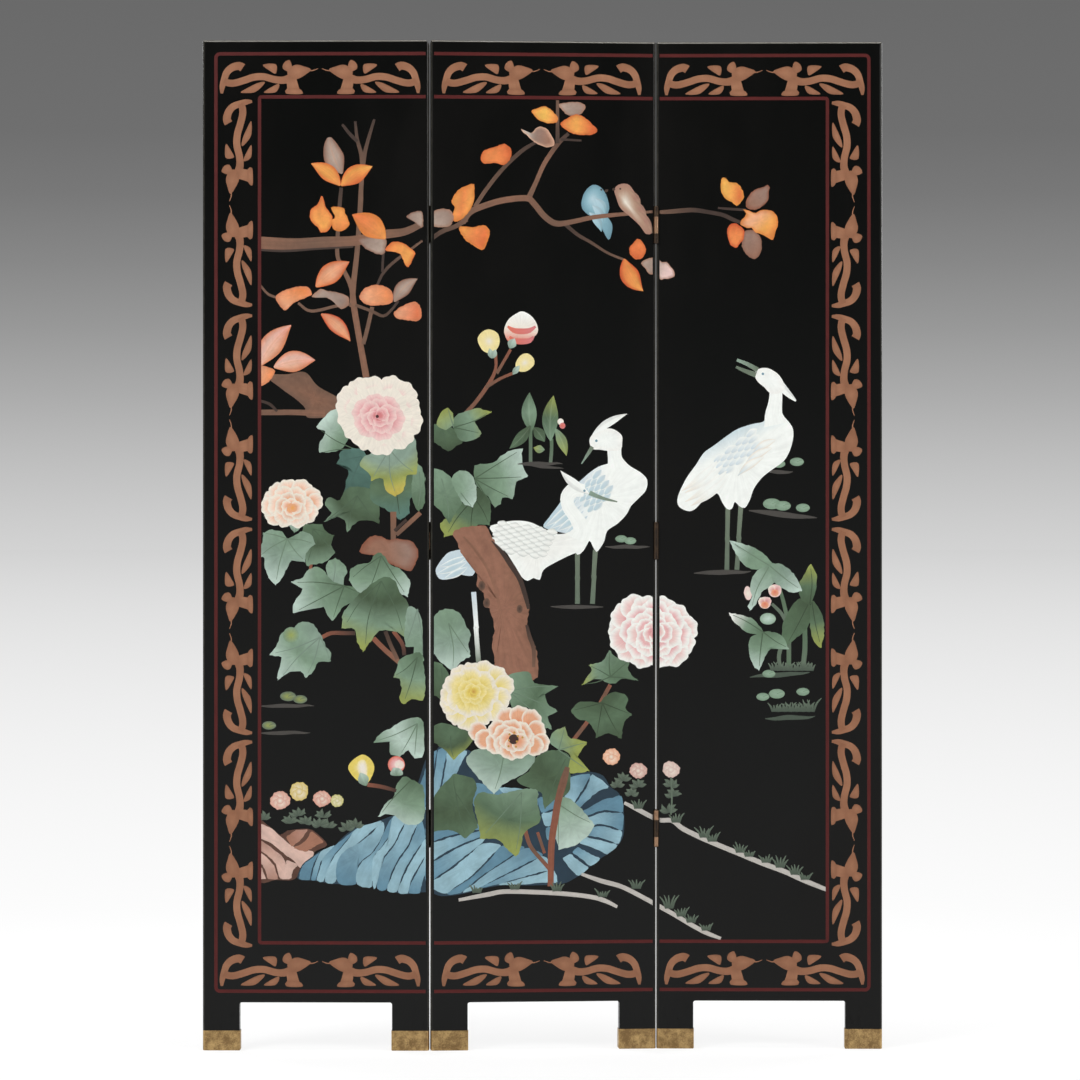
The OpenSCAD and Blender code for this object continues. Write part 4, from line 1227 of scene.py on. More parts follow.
# %% Middle leaf: branch, leaves and two birds
branch([(-116, 806, 4), (-102, 816, 4.5), (-87, 822, 4.5), (-77, 829, 5.5)], TWIG)
branch([(22, 824, 4), (34, 814, 3.5), (48, 806, 3), (64, 796, 2.5), (81, 789, 2.5)], TWIG)
branch([(-69, 841, 4), (-57, 859, 4), (-41, 879, 4), (-22, 897, 4), (-6, 907, 3)], BOUGH)
branch([(-15, 850, 5.5), (-8, 865, 4.5), (1, 885, 4.5), (14, 904, 4.5), (25, 915, 3.5)],
    [BARK, TRUNK, DARK_BARK])
branch([(14, 905, 4), (14, 925, 3.5), (14, 948, 3)], TWIG)
branch([(17, 909, 2.5), (38, 908, 2)], [DARK_BARK])
patch("feather", [(38, 843), (40, 854), (46, 862), (52, 864), (59, 860), (64, 851), (66, 840), (64, 833),
    (69, 824), (68, 814), (65, 809), (59, 819), (52, 829), (42, 836)], [PALE_SKY, SKY, SLATE],
    heart=(49, 850), turns=2.0)
for k in range(3):
    blade("feather", (52 - 3*k, 850 - 7*k), (62 - 2*k, 835 - 9*k), 8, [PALE_SKY, SKY], bend=0.1)
blade("stem", (61, 857), (65, 859), 3.0, [BILL], bend=0.0)
disc("stem", (58, 859), 1.0, [BILL])
branch([(-81, 825, 5.5), (-73, 836, 6), (-57, 843, 6), (-39, 848, 6), (-17, 850, 6), (-10, 845, 6),
    (1, 832, 6), (12, 825, 6), (25, 826, 5), (48, 831, 4.5), (72, 834, 4), (95, 836, 3), (115, 838, 2.5)],
    [BARK, TRUNK, BARK, TRUNK, BARK])
patch("feather", [(71, 859), (75, 864), (84, 865), (90, 859), (96, 847), (100, 833), (107, 822), (109, 816),
    (103, 815), (96, 824), (86, 833), (77, 841), (73, 851)], [CREAM, TAN, ROSY_BROWN], heart=(82, 847),
    turns=2.0)
for k in range(3):
    blade("feather", (86 + 4*k, 858 - 10*k), (97 + 6*k, 842 - 13*k), 6, [TAN, ROSY_BROWN, TAN], bend=0.1)
blade("stem", (72, 859), (69, 860), 3.0, [BILL], bend=0.0)
disc("stem", (77, 860), 1.0, [BILL])
curled([(-12, 937), (-6, 940), (1, 942), (8, 938), (14, 931), (13, 926), (4, 925), (-6, 929)],
    [AMBER, YELLOW, ORANGE])
curled([(15, 944), (25, 946), (37, 946), (42, 942), (37, 934), (25, 933), (19, 938)], DRY)
curled([(17, 924), (25, 931), (34, 934), (44, 929), (49, 924), (54, 918), (48, 914), (34, 914), (25, 917)],
    [ORANGE, AMBER, DEEP_ORANGE])
curled([(-23, 919), (-13, 915), (-6, 921), (2, 920), (7, 914), (11, 904), (4, 901), (-6, 904), (-14, 910)],
    [CREAM, TAUPE, FADED_BROWN])
curled([(-63, 890), (-60, 897), (-48, 901), (-39, 904), (-32, 898), (-34, 888), (-40, 883), (-48, 885),
    (-60, 884)], [ORANGE, ORANGE, DEEP_ORANGE])
curled([(-92, 847), (-85, 858), (-71, 864), (-69, 857), (-71, 843), (-78, 832), (-87, 826), (-92, 830),
    (-89, 840)], [AMBER, ORANGE, AMBER])
curled([(-84, 821), (-69, 821), (-60, 823), (-54, 817), (-56, 807), (-61, 798), (-71, 803), (-80, 810)],
    GLOWING)
curled([(-113, 825), (-111, 835), (-102, 839), (-93, 837), (-90, 829), (-95, 821), (-109, 821)], DRY)
curled([(96, 810), (103, 800), (99, 791), (91, 790), (86, 798), (89, 805)], [ORANGE, DEEP_ORANGE])
curled([(98, 786), (106, 791), (113, 790), (113, 776), (106, 775), (102, 781)], DRY)
blade("autumn", (81, 790), (100, 758), 19, [DEEP_ORANGE, ORANGE, AMBER], bend=-0.1, other=AMBER)
print("middle branch:", len(SHAPES), "shapes so far")

# %% [markdown]
# ## The middle leaf's plants
#
# A plant with two yellow buds and a round pink flower rises from broad leaves, and two small water plants
# stand beside it. The broad leaves overlap, so the ones behind are laid first.

# %% Middle leaf: buds, broad leaves and water plants
for line in ([(-48, 694, 3), (-48, 680, 3), (-54, 666, 4), (-69, 645, 4), (-90, 623, 4.5)], [(-33, 699, 3),
    (-41, 685, 3), (-47, 675, 3.5)], [(-29, 676, 3), (-43, 670, 3), (-58, 661, 3.5)]):
    stem(line, [RED_WOOD, BARK])
patch("petal", [(-66, 708), (-63, 715), (-55, 719), (-46, 715), (-44, 706), (-47, 699), (-53, 695),
    (-61, 698)], BUTTER, spacing=2.0, turns=3.0)
patch("petal", [(-28, 685), (-23, 693), (-16, 695), (-10, 690), (-10, 683), (-18, 677), (-26, 678)], BUTTER,
    spacing=2.0, turns=3.0)
for foot, tip in (((-52, 690), (-54, 700)), ((-51, 690), (-48, 699)), ((-31, 674), (-24, 683))):
    blade("leaf", foot, tip, 6, SPRIG, bend=0.0)
BALL_FLOWER = [(-39, 721), (-35, 729), (-27, 735), (-21, 737), (-13, 733), (-7, 725), (-6, 716), (-13, 709),
    (-22, 705), (-34, 706), (-39, 714)]
patch("petal", BALL_FLOWER, [WHITE, CREAM, CORAL], spacing=2.0, turns=3.0, slope=((-22, 734), (-24, 706)))
for y, half in ((722, 14), (712, 12)):
    stroke("petal", [(-22 - half, y, 2), (-30, y - 4, 5), (-22, y - 5, 6), (-14, y - 4, 5),
        (-22 + half, y, 2)], [CORAL, ROSE])
blade("leaf", (-34, 700), (-29, 710), 9, SPRIG, bend=0.0)
broad((-69, 551), [(-81, 546), (-67, 561), (-54, 549), (-53, 535), (-54, 524, 1), (-66, 524), (-73, 511, 1),
    (-81, 516), (-99, 512, 1), (-103, 525), (-91, 535)], TURNING)
broad((-102, 570), [(-116, 579), (-104, 579), (-91, 569), (-81, 549), (-87, 537), (-94, 525, 1), (-102, 537),
    (-112, 547), (-116, 560)], [GREEN, DARK_GREEN])
broad((-69, 570), [(-70, 580), (-66, 584), (-50, 586), (-43, 592), (-34, 598), (-21, 600, 1), (-22, 589),
    (-19, 579), (-16, 572, 1), (-27, 567), (-29, 558), (-31, 550, 1), (-41, 551), (-43, 545), (-49, 541, 1),
    (-54, 550), (-62, 558), (-69, 567)], FRESH)
broad((-83, 556), [(-92, 570), (-88, 576), (-81, 578), (-72, 574), (-68, 565), (-67, 551), (-71, 541, 1),
    (-81, 546), (-88, 558)], LIGHT)
broad((-102, 624), [(-116, 623), (-102, 624), (-90, 619), (-81, 606, 1), (-87, 603), (-95, 597, 1),
    (-103, 602), (-112, 609)], [DARK_GREEN, DEEP_GREEN])
broad((-90, 621), [(-91, 626), (-87, 633), (-77, 637), (-66, 640), (-52, 637, 1), (-63, 631), (-69, 627),
    (-62, 615, 1), (-68, 610), (-81, 607), (-89, 617)], YELLOWING)
broad((-90, 621), [(-107, 624), (-103, 635), (-96, 641, 1), (-91, 635), (-90, 625), (-97, 619)], MOSSY)
stem([(-13, 619, 3.5), (-13, 603, 3.5), (-13, 586, 3.5)], REED)
stem([(8, 610, 3.5), (8, 598, 3.5), (7, 586, 3.5)], REED)
water_line((-26, 585), (19, 585), 4)
water_line((-21, 584), (20, 580), 3)
for base, tip, width, tones in (((-12, 617), (-14, 656), 15, [DARK_GREEN, GREEN, DARK_GREEN]), ((-13, 623),
    (-34, 600), 11, DEEP), ((-10, 621), (1, 607), 11, DEEP), ((7, 608), (10, 653), 16, LATE),
    ((12, 620), (23, 593), 10, MOSSY), ((1, 599), (-10, 601), 8, MOSSY)):
    blade("leaf", base, tip, width, tones, bend=0.04)
disc("petal", (17, 627), 3.2, [WHITE, CREAM])
disc("petal", (19, 623), 3.0, [CORAL, ROSE])
print("buds and water plants:", len(SHAPES), "shapes so far")

# %% [markdown]
# ## Herons and the dead trunk
#
# Three white herons stand in the water. A heron is a body, an S-shaped neck, a long bill, a crest and two
# thin legs. The body could be one smooth patch, but the painting shows rows of feathers, so short blades
# lie over each wing like roof tiles. What is in front is laid later: the trunk comes after the heron behind
# it.

# %% Heron parts
def feather_rows(first, along, down, rows, count, size, tones, rim):
    """Short feathers in staggered rows. Each row's roots lie under the tips of the row above it."""
    for r in reversed(range(rows)):
        for k in range(count):
            x = first[0] + along[0]*(k + 0.5*(r % 2)) + down[0]*r
            y = first[1] + along[1]*(k + 0.5*(r % 2)) + down[1]*r
            blade("feather", (x, y), (x + down[0]*size, y + down[1]*size), math.hypot(*along)*1.2, tones,
                  rim, bend=0.0, halves=0.06, blunt=0.8)


def leg(top, foot, width, tones=(LEG_GREEN, DIM_GREEN)):
    (x0, y0), (x1, y1) = top, foot
    knee = ((x0 + x1)/2, (y0 + y1)/2)
    stroke("stem", [(x0, y0, width), (knee[0], knee[1] + 3, width*0.9), (*knee, width*1.15),
                    (knee[0], knee[1] - 3, width*0.9), (x1, y1, width)], list(tones), spacing=2.0)


WHITE_TONES, WING_TONES = [PLUME, PLUME, WHITE], [BLUE_PLUME, PALE_SKY, BLUE_PLUME]
print("heron helpers ready")

# %% The heron that looks down
water_line((7, 442), (60, 442), 4)
leg((34, 497), (34, 445), 5)
leg((52, 499), (49, 445), 5)
patch("feather", [(64, 585), (77, 589), (88, 582), (98, 576), (104, 569), (103, 559), (96, 551), (88, 543),
    (83, 534), (74, 525), (64, 518), (61, 508), (57, 501), (53, 497), (49, 503), (46, 508), (40, 498),
    (34, 494), (31, 501), (30, 513), (15, 517), (0, 522), (6, 532), (15, 544), (25, 558), (38, 569),
    (46, 576), (55, 582)], [PALE_SKY, BLUE_PLUME, PLUME, PLUME], heart=(58, 551), turns=2.5,
    slope=((12, 560), (70, 540)))
feather_rows((58, 579), (3.9, -5.2), (-4.2, -4.4), 5, 4, 2.0, [BLUE_PLUME, PALE_SKY], PLUME)
for root, tip in (((34, 551), (1, 522)), ((38, 544), (6, 520)), ((40, 538), (13, 518)),
    ((44, 533), (22, 516))):
    blade("feather", root, tip, 8, WING_TONES, PLUME, bend=0.04, halves=0.06)
stroke("feather", [(75, 579, 24), (72, 589, 15), (71, 598, 14), (71, 607, 16)], WHITE_TONES[:2])
patch("feather", [(46, 607), (48, 613), (57, 619), (69, 620), (78, 614), (79, 607), (77, 599), (65, 598),
    (57, 599), (49, 600)], WHITE_TONES, spacing=2.0)
blade("feather", (49, 614), (84, 635), 8, WHITE_TONES, bend=0.05)
stem([(49, 602, 4), (44, 594, 3), (38, 585, 1)], [LEG_GREEN, GREY_GREEN])
disc("stem", (53, 608), 1.3, [SLATE])
print("first heron:", len(SHAPES), "shapes so far")

# %% The heron behind the trunk
leg((-70, 457), (-65, 386), 5, (BLUE_PLUME, PLUME, LEG_GREEN))
patch("feather", [(-108, 478), (-105, 485), (-97, 495), (-90, 498), (-81, 499), (-69, 495), (-69, 476),
    (-75, 473), (-88, 475), (-94, 470), (-104, 470)], [PALE_SKY, BLUE_PLUME], spacing=3.0, turns=2.0)
for root, tip in (((-76, 493), (-105, 482)), ((-76, 488), (-107, 475)), ((-76, 482), (-100, 470))):
    blade("feather", root, tip, 7, WING_TONES, PLUME, bend=0.03, halves=0.06)
patch("feather", [(-54, 521), (-46, 525), (-31, 528), (-15, 527), (-1, 521), (11, 515), (25, 516), (34, 520),
    (40, 511), (37, 499), (25, 493), (11, 486), (0, 479), (-4, 469), (-10, 471), (-16, 468), (-22, 472),
    (-28, 482), (-35, 493), (-44, 508)], [PLUME, WHITE, PLUME], heart=(-6, 502), turns=2.5)
feather_rows((14, 516), (-2.4, -5.4), (-6.2, 1.0), 9, 5, 1.7, [WHITE, PLUME], FEATHER_RIM)
stroke("feather", [(34, 509, 22), (38, 520, 17), (32, 532, 14), (25, 542, 13), (24, 552, 14), (31, 559, 15),
    (41, 558, 12)], WHITE_TONES[:2])
blade("feather", (46, 555), (17, 578), 9, WHITE_TONES, bend=0.05)
stem([(46, 556, 5), (58, 551, 3.5), (74, 547, 1.2)], [GREY_GREEN, LEG_GREEN])
disc("stem", (41, 558), 1.2, [SLATE])
print("second heron:", len(SHAPES), "shapes so far")

# %% The dead trunk
patch("bark", [(-91, 516), (-85, 520), (-69, 523), (-57, 522), (-51, 511), (-43, 499), (-33, 487),
    (-26, 473), (-19, 459), (-15, 447), (-15, 440), (-16, 421), (-11, 407), (-7, 397), (-8, 370), (-46, 370),
    (-49, 386), (-51, 407), (-49, 421), (-54, 440), (-58, 441), (-60, 455), (-68, 465), (-66, 471),
    (-68, 483), (-78, 490), (-85, 502)], [WARM_BARK, WARM_BARK, TRUNK], heart=(-40, 440), turns=3.0,
    slope=((-60, 440), (-14, 452)), ragged=0.9)
for line, tones in (([(-80, 512, 2), (-68, 498, 3), (-56, 480, 3), (-48, 458, 3), (-42, 430, 3),
    (-38, 400, 2)], [TRUNK, WARM_BARK]), ([(-52, 508, 1), (-42, 497, 4), (-33, 484, 5), (-24, 470, 5),
    (-18, 452, 4.5), (-15, 440, 3)], [DARK_BARK, DARK_BARK]), ([(-17, 424, 3), (-14, 412, 4), (-10, 400, 4),
    (-10, 382, 3)], TWIG)):
    branch(line, tones)
for x, y, radius in ((-62, 463, 3.5), (-57, 446, 3.5), (-24, 440, 3)):
    disc("bark", (x, y), radius, TWIG, squash=1.4)
lily_pad((78, 510), 6)
lily_pad((87, 508), 6)
water_line((62, 502), (107, 502), 4)
print("trunk and pads:", len(SHAPES), "shapes so far")

# %% [markdown]
# ## Three more peonies
#
# The large striped peony lies across the second joint, and half of it is on each leaf. Below it are a
# yellow and a coral one, each with its own leaves and red-brown stems.

# %% Middle leaf: stems and leaves below the peonies
for line in ([(-19, 221, 4), (-13, 203, 4), (1, 186, 4), (7, 179, 4)], [(-6, 217, 3), (1, 196, 3)],
    [(67, 364, 4), (57, 346, 4)], [(44, 327, 4), (30, 309, 4)]):
    branch(line, [RED_WOOD, BARK, RED_WOOD])
broad((-95, 426), [(-113, 426), (-104, 438), (-93, 440), (-83, 435), (-78, 424), (-73, 414), (-75, 405),
    (-73, 393, 1), (-83, 387), (-90, 377, 1), (-102, 387), (-109, 395), (-114, 402)], SOFT)
broad((-102, 381), [(-114, 386), (-102, 385), (-93, 372), (-93, 360), (-100, 346, 1), (-107, 353),
    (-113, 358)], [DARK_GREEN, DEEP_GREEN])
broad((-35, 358), [(-36, 372), (-15, 377), (-12, 370), (-6, 365), (15, 363, 1), (1, 358), (4, 346),
    (14, 338, 1), (4, 332), (8, 320, 1), (-1, 323), (-13, 341), (-31, 341)], [GREEN, DARK_GREEN, GREEN])
broad((-88, 257), [(-115, 236), (-107, 257), (-90, 276, 1), (-71, 271), (-67, 262), (-71, 245),
    (-66, 222, 1), (-78, 211, 1), (-90, 219), (-102, 219), (-115, 219)], SHADOWY)
broad((-93, 313), [(-115, 318), (-102, 327), (-81, 320), (-69, 316), (-74, 304), (-90, 290, 1), (-102, 302),
    (-111, 309)], [DARK_GREEN, DEEP_GREEN, LIME])
broad((15, 245), [(15, 252), (30, 248), (44, 233), (51, 224, 1), (46, 215), (34, 205), (15, 199, 1),
    (12, 217), (12, 240)], LIGHT)
broad((-22, 257), [(-69, 250), (-62, 257), (-46, 255), (-29, 259), (-15, 261), (-6, 259), (-6, 245),
    (-3, 229), (-13, 222), (-20, 215), (-24, 198), (-28, 193, 1), (-39, 203), (-46, 210), (-63, 211, 1),
    (-66, 229), (-69, 240)], LATE)
broad((22, 290), [(-27, 269), (-15, 278), (-10, 290), (6, 299), (25, 294), (27, 276), (25, 257), (11, 250),
    (1, 240, 1), (-3, 257), (-17, 262)], SHADOWY)
broad((15, 299), [(6, 309), (11, 318), (21, 322, 1), (25, 312), (44, 307, 1), (37, 297), (34, 290),
    (46, 278, 1), (34, 276), (25, 278), (27, 294), (11, 302)], [GREEN, LIME, LIME])
broad((-39, 299), [(-78, 290), (-69, 299), (-55, 302), (-34, 299), (-13, 302), (-9, 290), (-17, 278),
    (-29, 271), (-39, 266), (-50, 255, 1), (-60, 266), (-69, 276)], SOFT)
broad((59, 346), [(27, 338, 1), (34, 346), (44, 348), (55, 346), (60, 351), (72, 357), (85, 351), (82, 341),
    (89, 334, 1), (81, 327), (78, 310, 1), (65, 316), (53, 311, 1), (51, 318), (44, 327), (34, 330)],
    [DEEP_GREEN, DARK_GREEN, DEEP_GREEN])
broad((67, 372), [(38, 364, 1), (45, 373), (48, 379), (45, 384, 1), (55, 386), (61, 390), (66, 399, 1),
    (72, 392), (87, 389, 1), (85, 381), (88, 374), (95, 368, 1), (79, 370), (69, 365), (53, 370)], YELLOWING)
branch([(24, 282, 5), (20, 268, 7.5), (15, 250, 7), (12, 233, 7), (8, 205, 6.5), (7, 163, 6)],
    [BARK, RED_WOOD, RED_WOOD])
print("leaves under the peonies:", len(SHAPES), "shapes so far")

# %% Middle leaf: yellow, coral and striped peonies
peony((-71, 357), [(-90.6, 363.5, 10), (-82.8, 373.9, 10), (-72.3, 377.4, 9.5), (-58.4, 378.3, 10),
    (-46.2, 372.2, 10), (-39.3, 363.5, 10), (-43.6, 350.5, 10.5), (-50.6, 339.1, 10.5), (-62.8, 333.1, 10),
    (-76.7, 328.7, 10), (-87.1, 334.8, 10), (-93.2, 345.2, 10), (-94.1, 353.9, 9.5)],
    [LEMON, PALE_YELLOW, CREAM], [(17, 11, 7, [GOLD, LEMON, PALE_YELLOW, CREAM]), (12, 9, 6, SUNNY),
    (8, 7, 5, SUNNY), (4, 5, 4, SUNNY), (2, 3.5, 3, [GOLD, LEMON])])
peony((-30, 310), [(-66, 318, 9), (-60, 310, 9), (-48, 306, 10), (-37, 332, 9.5), (-24, 334, 9.5),
    (-12, 330, 9.5), (-7, 319, 9), (-3, 306, 9), (-9, 303, 9), (-22, 304, 9), (-41, 304, 9), (-46, 320, 9)],
    [SOFT_CORAL, PEACH, PEACH, CREAM], [(12, 9.5, 7, [SOFT_CORAL, PEACH, PEACH, CREAM]), (7, 7.5, 5,
    [SOFT_CORAL, PEACH, CREAM])], eye=5.0)
STRIPED, BANDED = [ROSE, PINK, PALE_PINK, WHITE], [ROSE, PALE_PINK, PINK, WHITE]
peony((111, 416), [(78, 420, 13), (80, 433, 12), (90, 442, 12), (102, 440, 13), (120, 438, 14),
    (134, 432, 12), (143, 420, 12), (140, 406, 12), (132, 396, 13), (118, 394, 13), (98, 394, 13),
    (84, 400, 12), (78, 409, 12)], STRIPED, [(22, 13, 8, BANDED), (16, 11, 7, STRIPED), (10, 9, 5, BANDED),
    (5, 6.5, 4, STRIPED), (2.5, 4, 3, [ROSE, PINK])])
print("three peonies:", len(SHAPES), "shapes so far")

# %% Ground, small flowers and grass
for row in ([(-85, 150, 3), (-57, 155, 4.5), (-39, 158, 4.5), (-3, 157, 4.5), (25, 155, 4.5), (48, 152, 4.5),
    (62, 148, 4.5), (74, 142, 3)], [(38, 175, 3), (58, 168, 4.5), (76, 163, 4.5), (91, 156, 4.5),
    (115, 143, 4.5), (133, 133, 4.5), (148, 124, 4.5), (163, 116, 4.5), (178, 110, 3)], [(81, 246, 3),
    (95, 239, 4.5), (115, 229, 4.5), (129, 228, 4.5), (140, 220, 5), (156, 212, 5), (172, 205, 5),
    (194, 196, 5), (218, 186, 5), (242, 177, 5), (262, 168, 5), (284, 159, 4)]):
    stem(row, [CHALK])
small_flower((68, 292), 8, [CREAM, PALE_PEACH, PEACH])
small_flower((95, 278), 8, [CREAM, (206, 160, 148)])
small_flower((128, 279), 8, [CREAM, (215, 185, 175)])
for x, y, reach in ((80, 268, 11), (95, 262, 11), (74, 262, 9), (88, 254, 9), (128, 262, 11), (130, 252, 11),
    (126, 236, 12)):
    feathery((x, y), reach, FERN, 5)
stem([(128, 271, 1.6), (129, 250, 1.6), (128, 234, 1.6)], [DIM_GREEN])
for x, y, height in ((-66, 157, 7), (-28, 160, 7), (14, 158, 8), (60, 152, 7), (94, 160, 8), (127, 140, 11),
    (139, 132, 8), (149, 126, 7), (164, 118, 7), (134, 226, 8), (162, 211, 11), (170, 207, 8), (198, 196, 9),
    (207, 192, 6), (224, 186, 7), (238, 181, 11), (253, 174, 9), (263, 169, 6), (96, 240, 8)):
    tuft((x, y), height, 5)
print("ground and grass:", len(SHAPES), "shapes so far")

# %% [markdown]
# ## The right leaf
#
# The end of the branch with its last autumn leaves, the heron with an open bill, and water plants. It is
# the emptiest of the three leaves, and the black between the things is part of the picture.

# %% Right leaf: end of the branch
branch([(114, 837, 3), (121, 837, 4), (134, 838, 4.5), (150, 839, 4.5), (165, 837, 4), (180, 834, 4),
    (191, 829, 4), (200, 826, 3)], [BARK, DARK_BARK, DARK_BARK])
branch([(175, 841, 2), (188, 840, 2.5), (203, 839, 2.5)], [DARK_BARK])
curled([(178, 862), (178, 867), (179, 871), (183, 871), (186, 867), (194, 866), (199, 860), (201, 852),
    (198, 847), (194, 843), (189, 847), (183, 850), (179, 856)], [YELLOW, AMBER, DEEP_ORANGE])
curled([(204, 841), (203, 847), (206, 853), (210, 858), (217, 861), (221, 862), (225, 864), (227, 861),
    (226, 857), (226, 852), (224, 847), (217, 841), (210, 839)], [FADED_BROWN, TAUPE])
curled([(202, 818), (206, 819), (210, 819), (215, 815), (218, 810), (219, 802), (217, 794), (212, 790),
    (208, 791), (203, 795), (199, 803), (200, 810)], [TAUPE, FADED_BROWN])
curled([(192, 826), (196, 824), (201, 819), (201, 810), (197, 805), (193, 801), (188, 804), (185, 812),
    (184, 819), (187, 824)], [DEEP_ORANGE, ORANGE, ORANGE])
curled([(200, 840), (207, 838), (213, 836), (218, 839), (226, 839), (231, 837), (235, 830), (235, 823),
    (232, 815), (230, 809), (224, 812), (217, 815), (212, 817), (209, 821), (204, 821), (198, 824),
    (198, 828), (202, 832), (203, 836)], [AMBER, PEACH, AMBER, ORANGE])
curled([(114, 790), (119, 787), (124, 787), (128, 782), (131, 779), (132, 774), (129, 771), (123, 770),
    (116, 771)], [PALE_TAUPE, PALE_PINK])
print("end of the branch:", len(SHAPES), "shapes so far")

# %% The heron with an open bill
water_line((151, 476), (208, 477), 5)
leg((185, 541), (184, 479), 4.8)
leg((198, 543), (194, 479), 4.8)
water_line((222, 577), (250, 577), 4)
lily_pad((236, 585), 6.5)
lily_pad((254, 587), 7)
patch("feather", [(220, 627), (210, 625), (195, 620), (184, 613), (172, 604), (161, 596), (153, 584),
    (145, 573), (139, 562), (135, 552), (135, 544), (141, 539), (149, 538), (157, 545), (161, 556),
    (168, 556), (175, 555), (179, 547), (184, 540), (189, 540), (192, 547), (196, 543), (202, 541),
    (207, 549), (211, 560), (219, 571), (229, 579), (240, 587), (246, 596), (250, 609), (250, 620),
    (245, 628), (238, 634), (227, 634)], [PLUME, PLUME, PLUME, PALE_SKY], heart=(195, 588), turns=2.5,
    slope=((210, 558), (180, 618)))
feather_rows((214, 620), (2.2, -6.0), (-5.4, -4.2), 7, 3, 1.9, [PLUME, BLUE_PLUME], PLUME)
for root, tip in (((180, 584), (142, 556)), ((184, 578), (142, 547)), ((185, 573), (148, 543)),
    ((174, 588), (139, 558))):
    blade("feather", root, tip, 8, [PLUME, PLUME, CREAM], WHITE, bend=0.05, halves=0.05)
for root, tip in (((233, 609), (210, 596)), ((229, 601), (202, 584)), ((221, 592), (195, 573))):
    blade("feather", root, tip, 8, [PLUME, PLUME, BLUE_PLUME], CREAM, bend=-0.06, halves=0.05)
stroke("feather", [(233, 624, 24), (231, 634, 18), (232, 643, 14.5), (233, 652, 13), (233, 659, 13)],
    WHITE_TONES[:2])
blade("feather", (229, 676), (253, 648), 8, [PLUME, PLUME], bend=-0.04, blunt=0.5)
patch("feather", [(212, 675), (214, 679), (220, 681), (227, 680), (235, 675), (240, 668), (242, 662),
    (240, 658), (234, 655), (227, 656), (221, 662), (216, 666), (213, 670)], WHITE_TONES, spacing=2.0)
stem([(215, 679, 5), (204, 685, 4), (194, 689, 3)], [LEG_GREEN, GREY_GREEN])
stem([(213, 674, 5.5), (202, 678, 4), (193, 682, 2.5)], [LEG_GREEN, DIM_GREEN])
disc("stem", (220, 675), 1.3, [SLATE])
print("third heron:", len(SHAPES), "shapes so far")

# %% Right leaf: water plants
water_line((206, 538), (274, 531), 6)
for place, radius in (((229, 545), 9), ((240, 543), 8), ((260, 541), 7)):
    lily_pad(place, radius)
stem([(232, 475, 2.5), (238, 456, 3.5), (242, 441, 4), (244, 426, 4.5), (240, 409, 4.5), (236, 392, 4),
    (238, 380, 3.5)], REED)
stem([(229, 445, 3), (238, 436, 3.5), (243, 427, 3.5)], [DIM_GREEN])
stem([(262, 421, 4.5), (262, 400, 5), (260, 380, 5)], REED)
stem([(246, 412, 4), (246, 400, 4.5), (246, 380, 4.5)], [DIM_GREEN, DARK_GREEN])
broad((267, 448), [(267, 447), (257, 450), (249, 443), (244, 434), (240, 424), (239, 411), (243, 402, 1),
    (252, 410), (259, 415), (267, 427)], DEEP)
broad((269, 447), [(269, 448), (277, 439), (281, 424), (281, 413), (278, 401, 1), (273, 404), (269, 413),
    (267, 428)], TURNING)
broad((267, 445), [(268, 485, 1), (272, 479), (274, 471), (273, 460), (270, 451), (268, 444), (259, 449),
    (256, 458), (257, 467), (261, 473), (264, 480)], TURNING)
patch("petal", [(201, 456), (203, 462), (206, 462), (209, 457), (208, 450), (204, 449)], [CREAM, PALE_PINK],
    spacing=2.0)
broad((227, 483), [(187, 508, 1), (195, 506), (206, 503), (217, 498), (224, 492), (229, 484), (217, 480),
    (206, 481), (197, 489), (190, 500)], [GREEN, GREEN, PALE_GREEN])
broad((226, 482), [(227, 483), (217, 480), (210, 472), (207, 463), (209, 452), (205, 443), (207, 438, 1),
    (213, 445), (219, 456), (227, 462), (233, 472)], LIGHT)
broad((227, 483), [(227, 484), (236, 485), (243, 482), (249, 477), (255, 468), (259, 458, 1), (251, 456),
    (240, 460), (230, 468)], SOFT)
for middle, radius in (((232, 458), 6.5), ((222, 446), 6)):
    disc("petal", middle, radius, [CORAL, PINK, PALE_PINK])
    petal((middle[0] - 3, middle[1] + 1.5), 3.6, middle, [ROSE, CREAM])
    petal((middle[0] + 3, middle[1] + 2.0), 3.4, middle, [ROSE, PALE_PINK])
    petal((middle[0], middle[1] - 2.0), 3.4, middle, [CORAL, PEACH])
disc("leaf", (225, 430), 8, [PALE_GREEN, PAD_GREEN], squash=0.72)
broad((220, 417), [(207, 411), (217, 416), (229, 417), (239, 413), (246, 400, 1), (236, 402), (228, 400),
    (222, 392), (216, 378, 1), (210, 384), (207, 392), (206, 404)], FRESH)
broad((220, 417), [(186, 436, 1), (192, 435), (200, 433), (208, 431), (214, 426), (220, 416), (210, 415),
    (202, 418), (194, 424), (188, 432)], [DARK_GREEN, GREEN, WHITE])
water_line((207, 372), (267, 376), 5, (FAINT_GREEN,))
for place, radius in (((226, 375), 6.5), ((220, 352), 6.5), ((234, 355), 8), ((260, 357), 6.5)):
    lily_pad(place, radius)
for x in (232, 239, 245, 251, 257, 263, 268):
    tuft((x, 378), 8, 4)
    tuft((x + 1, 337), 11 if x > 262 else 8, 4)
water_line((222, 330), (272, 332), 5, (FAINT_GREEN,))
print("right leaf done:", len(SHAPES), "shapes in the picture")

# %% [markdown]
# # The border
#
# A frame of two thin red lines runs round the whole picture, and between them walk long archaic creatures
# in copper brown, in pairs that face each other. The creature is drawn once and turned or mirrored into
# each of its 28 places. Drawing each one anew would let them drift apart in size.

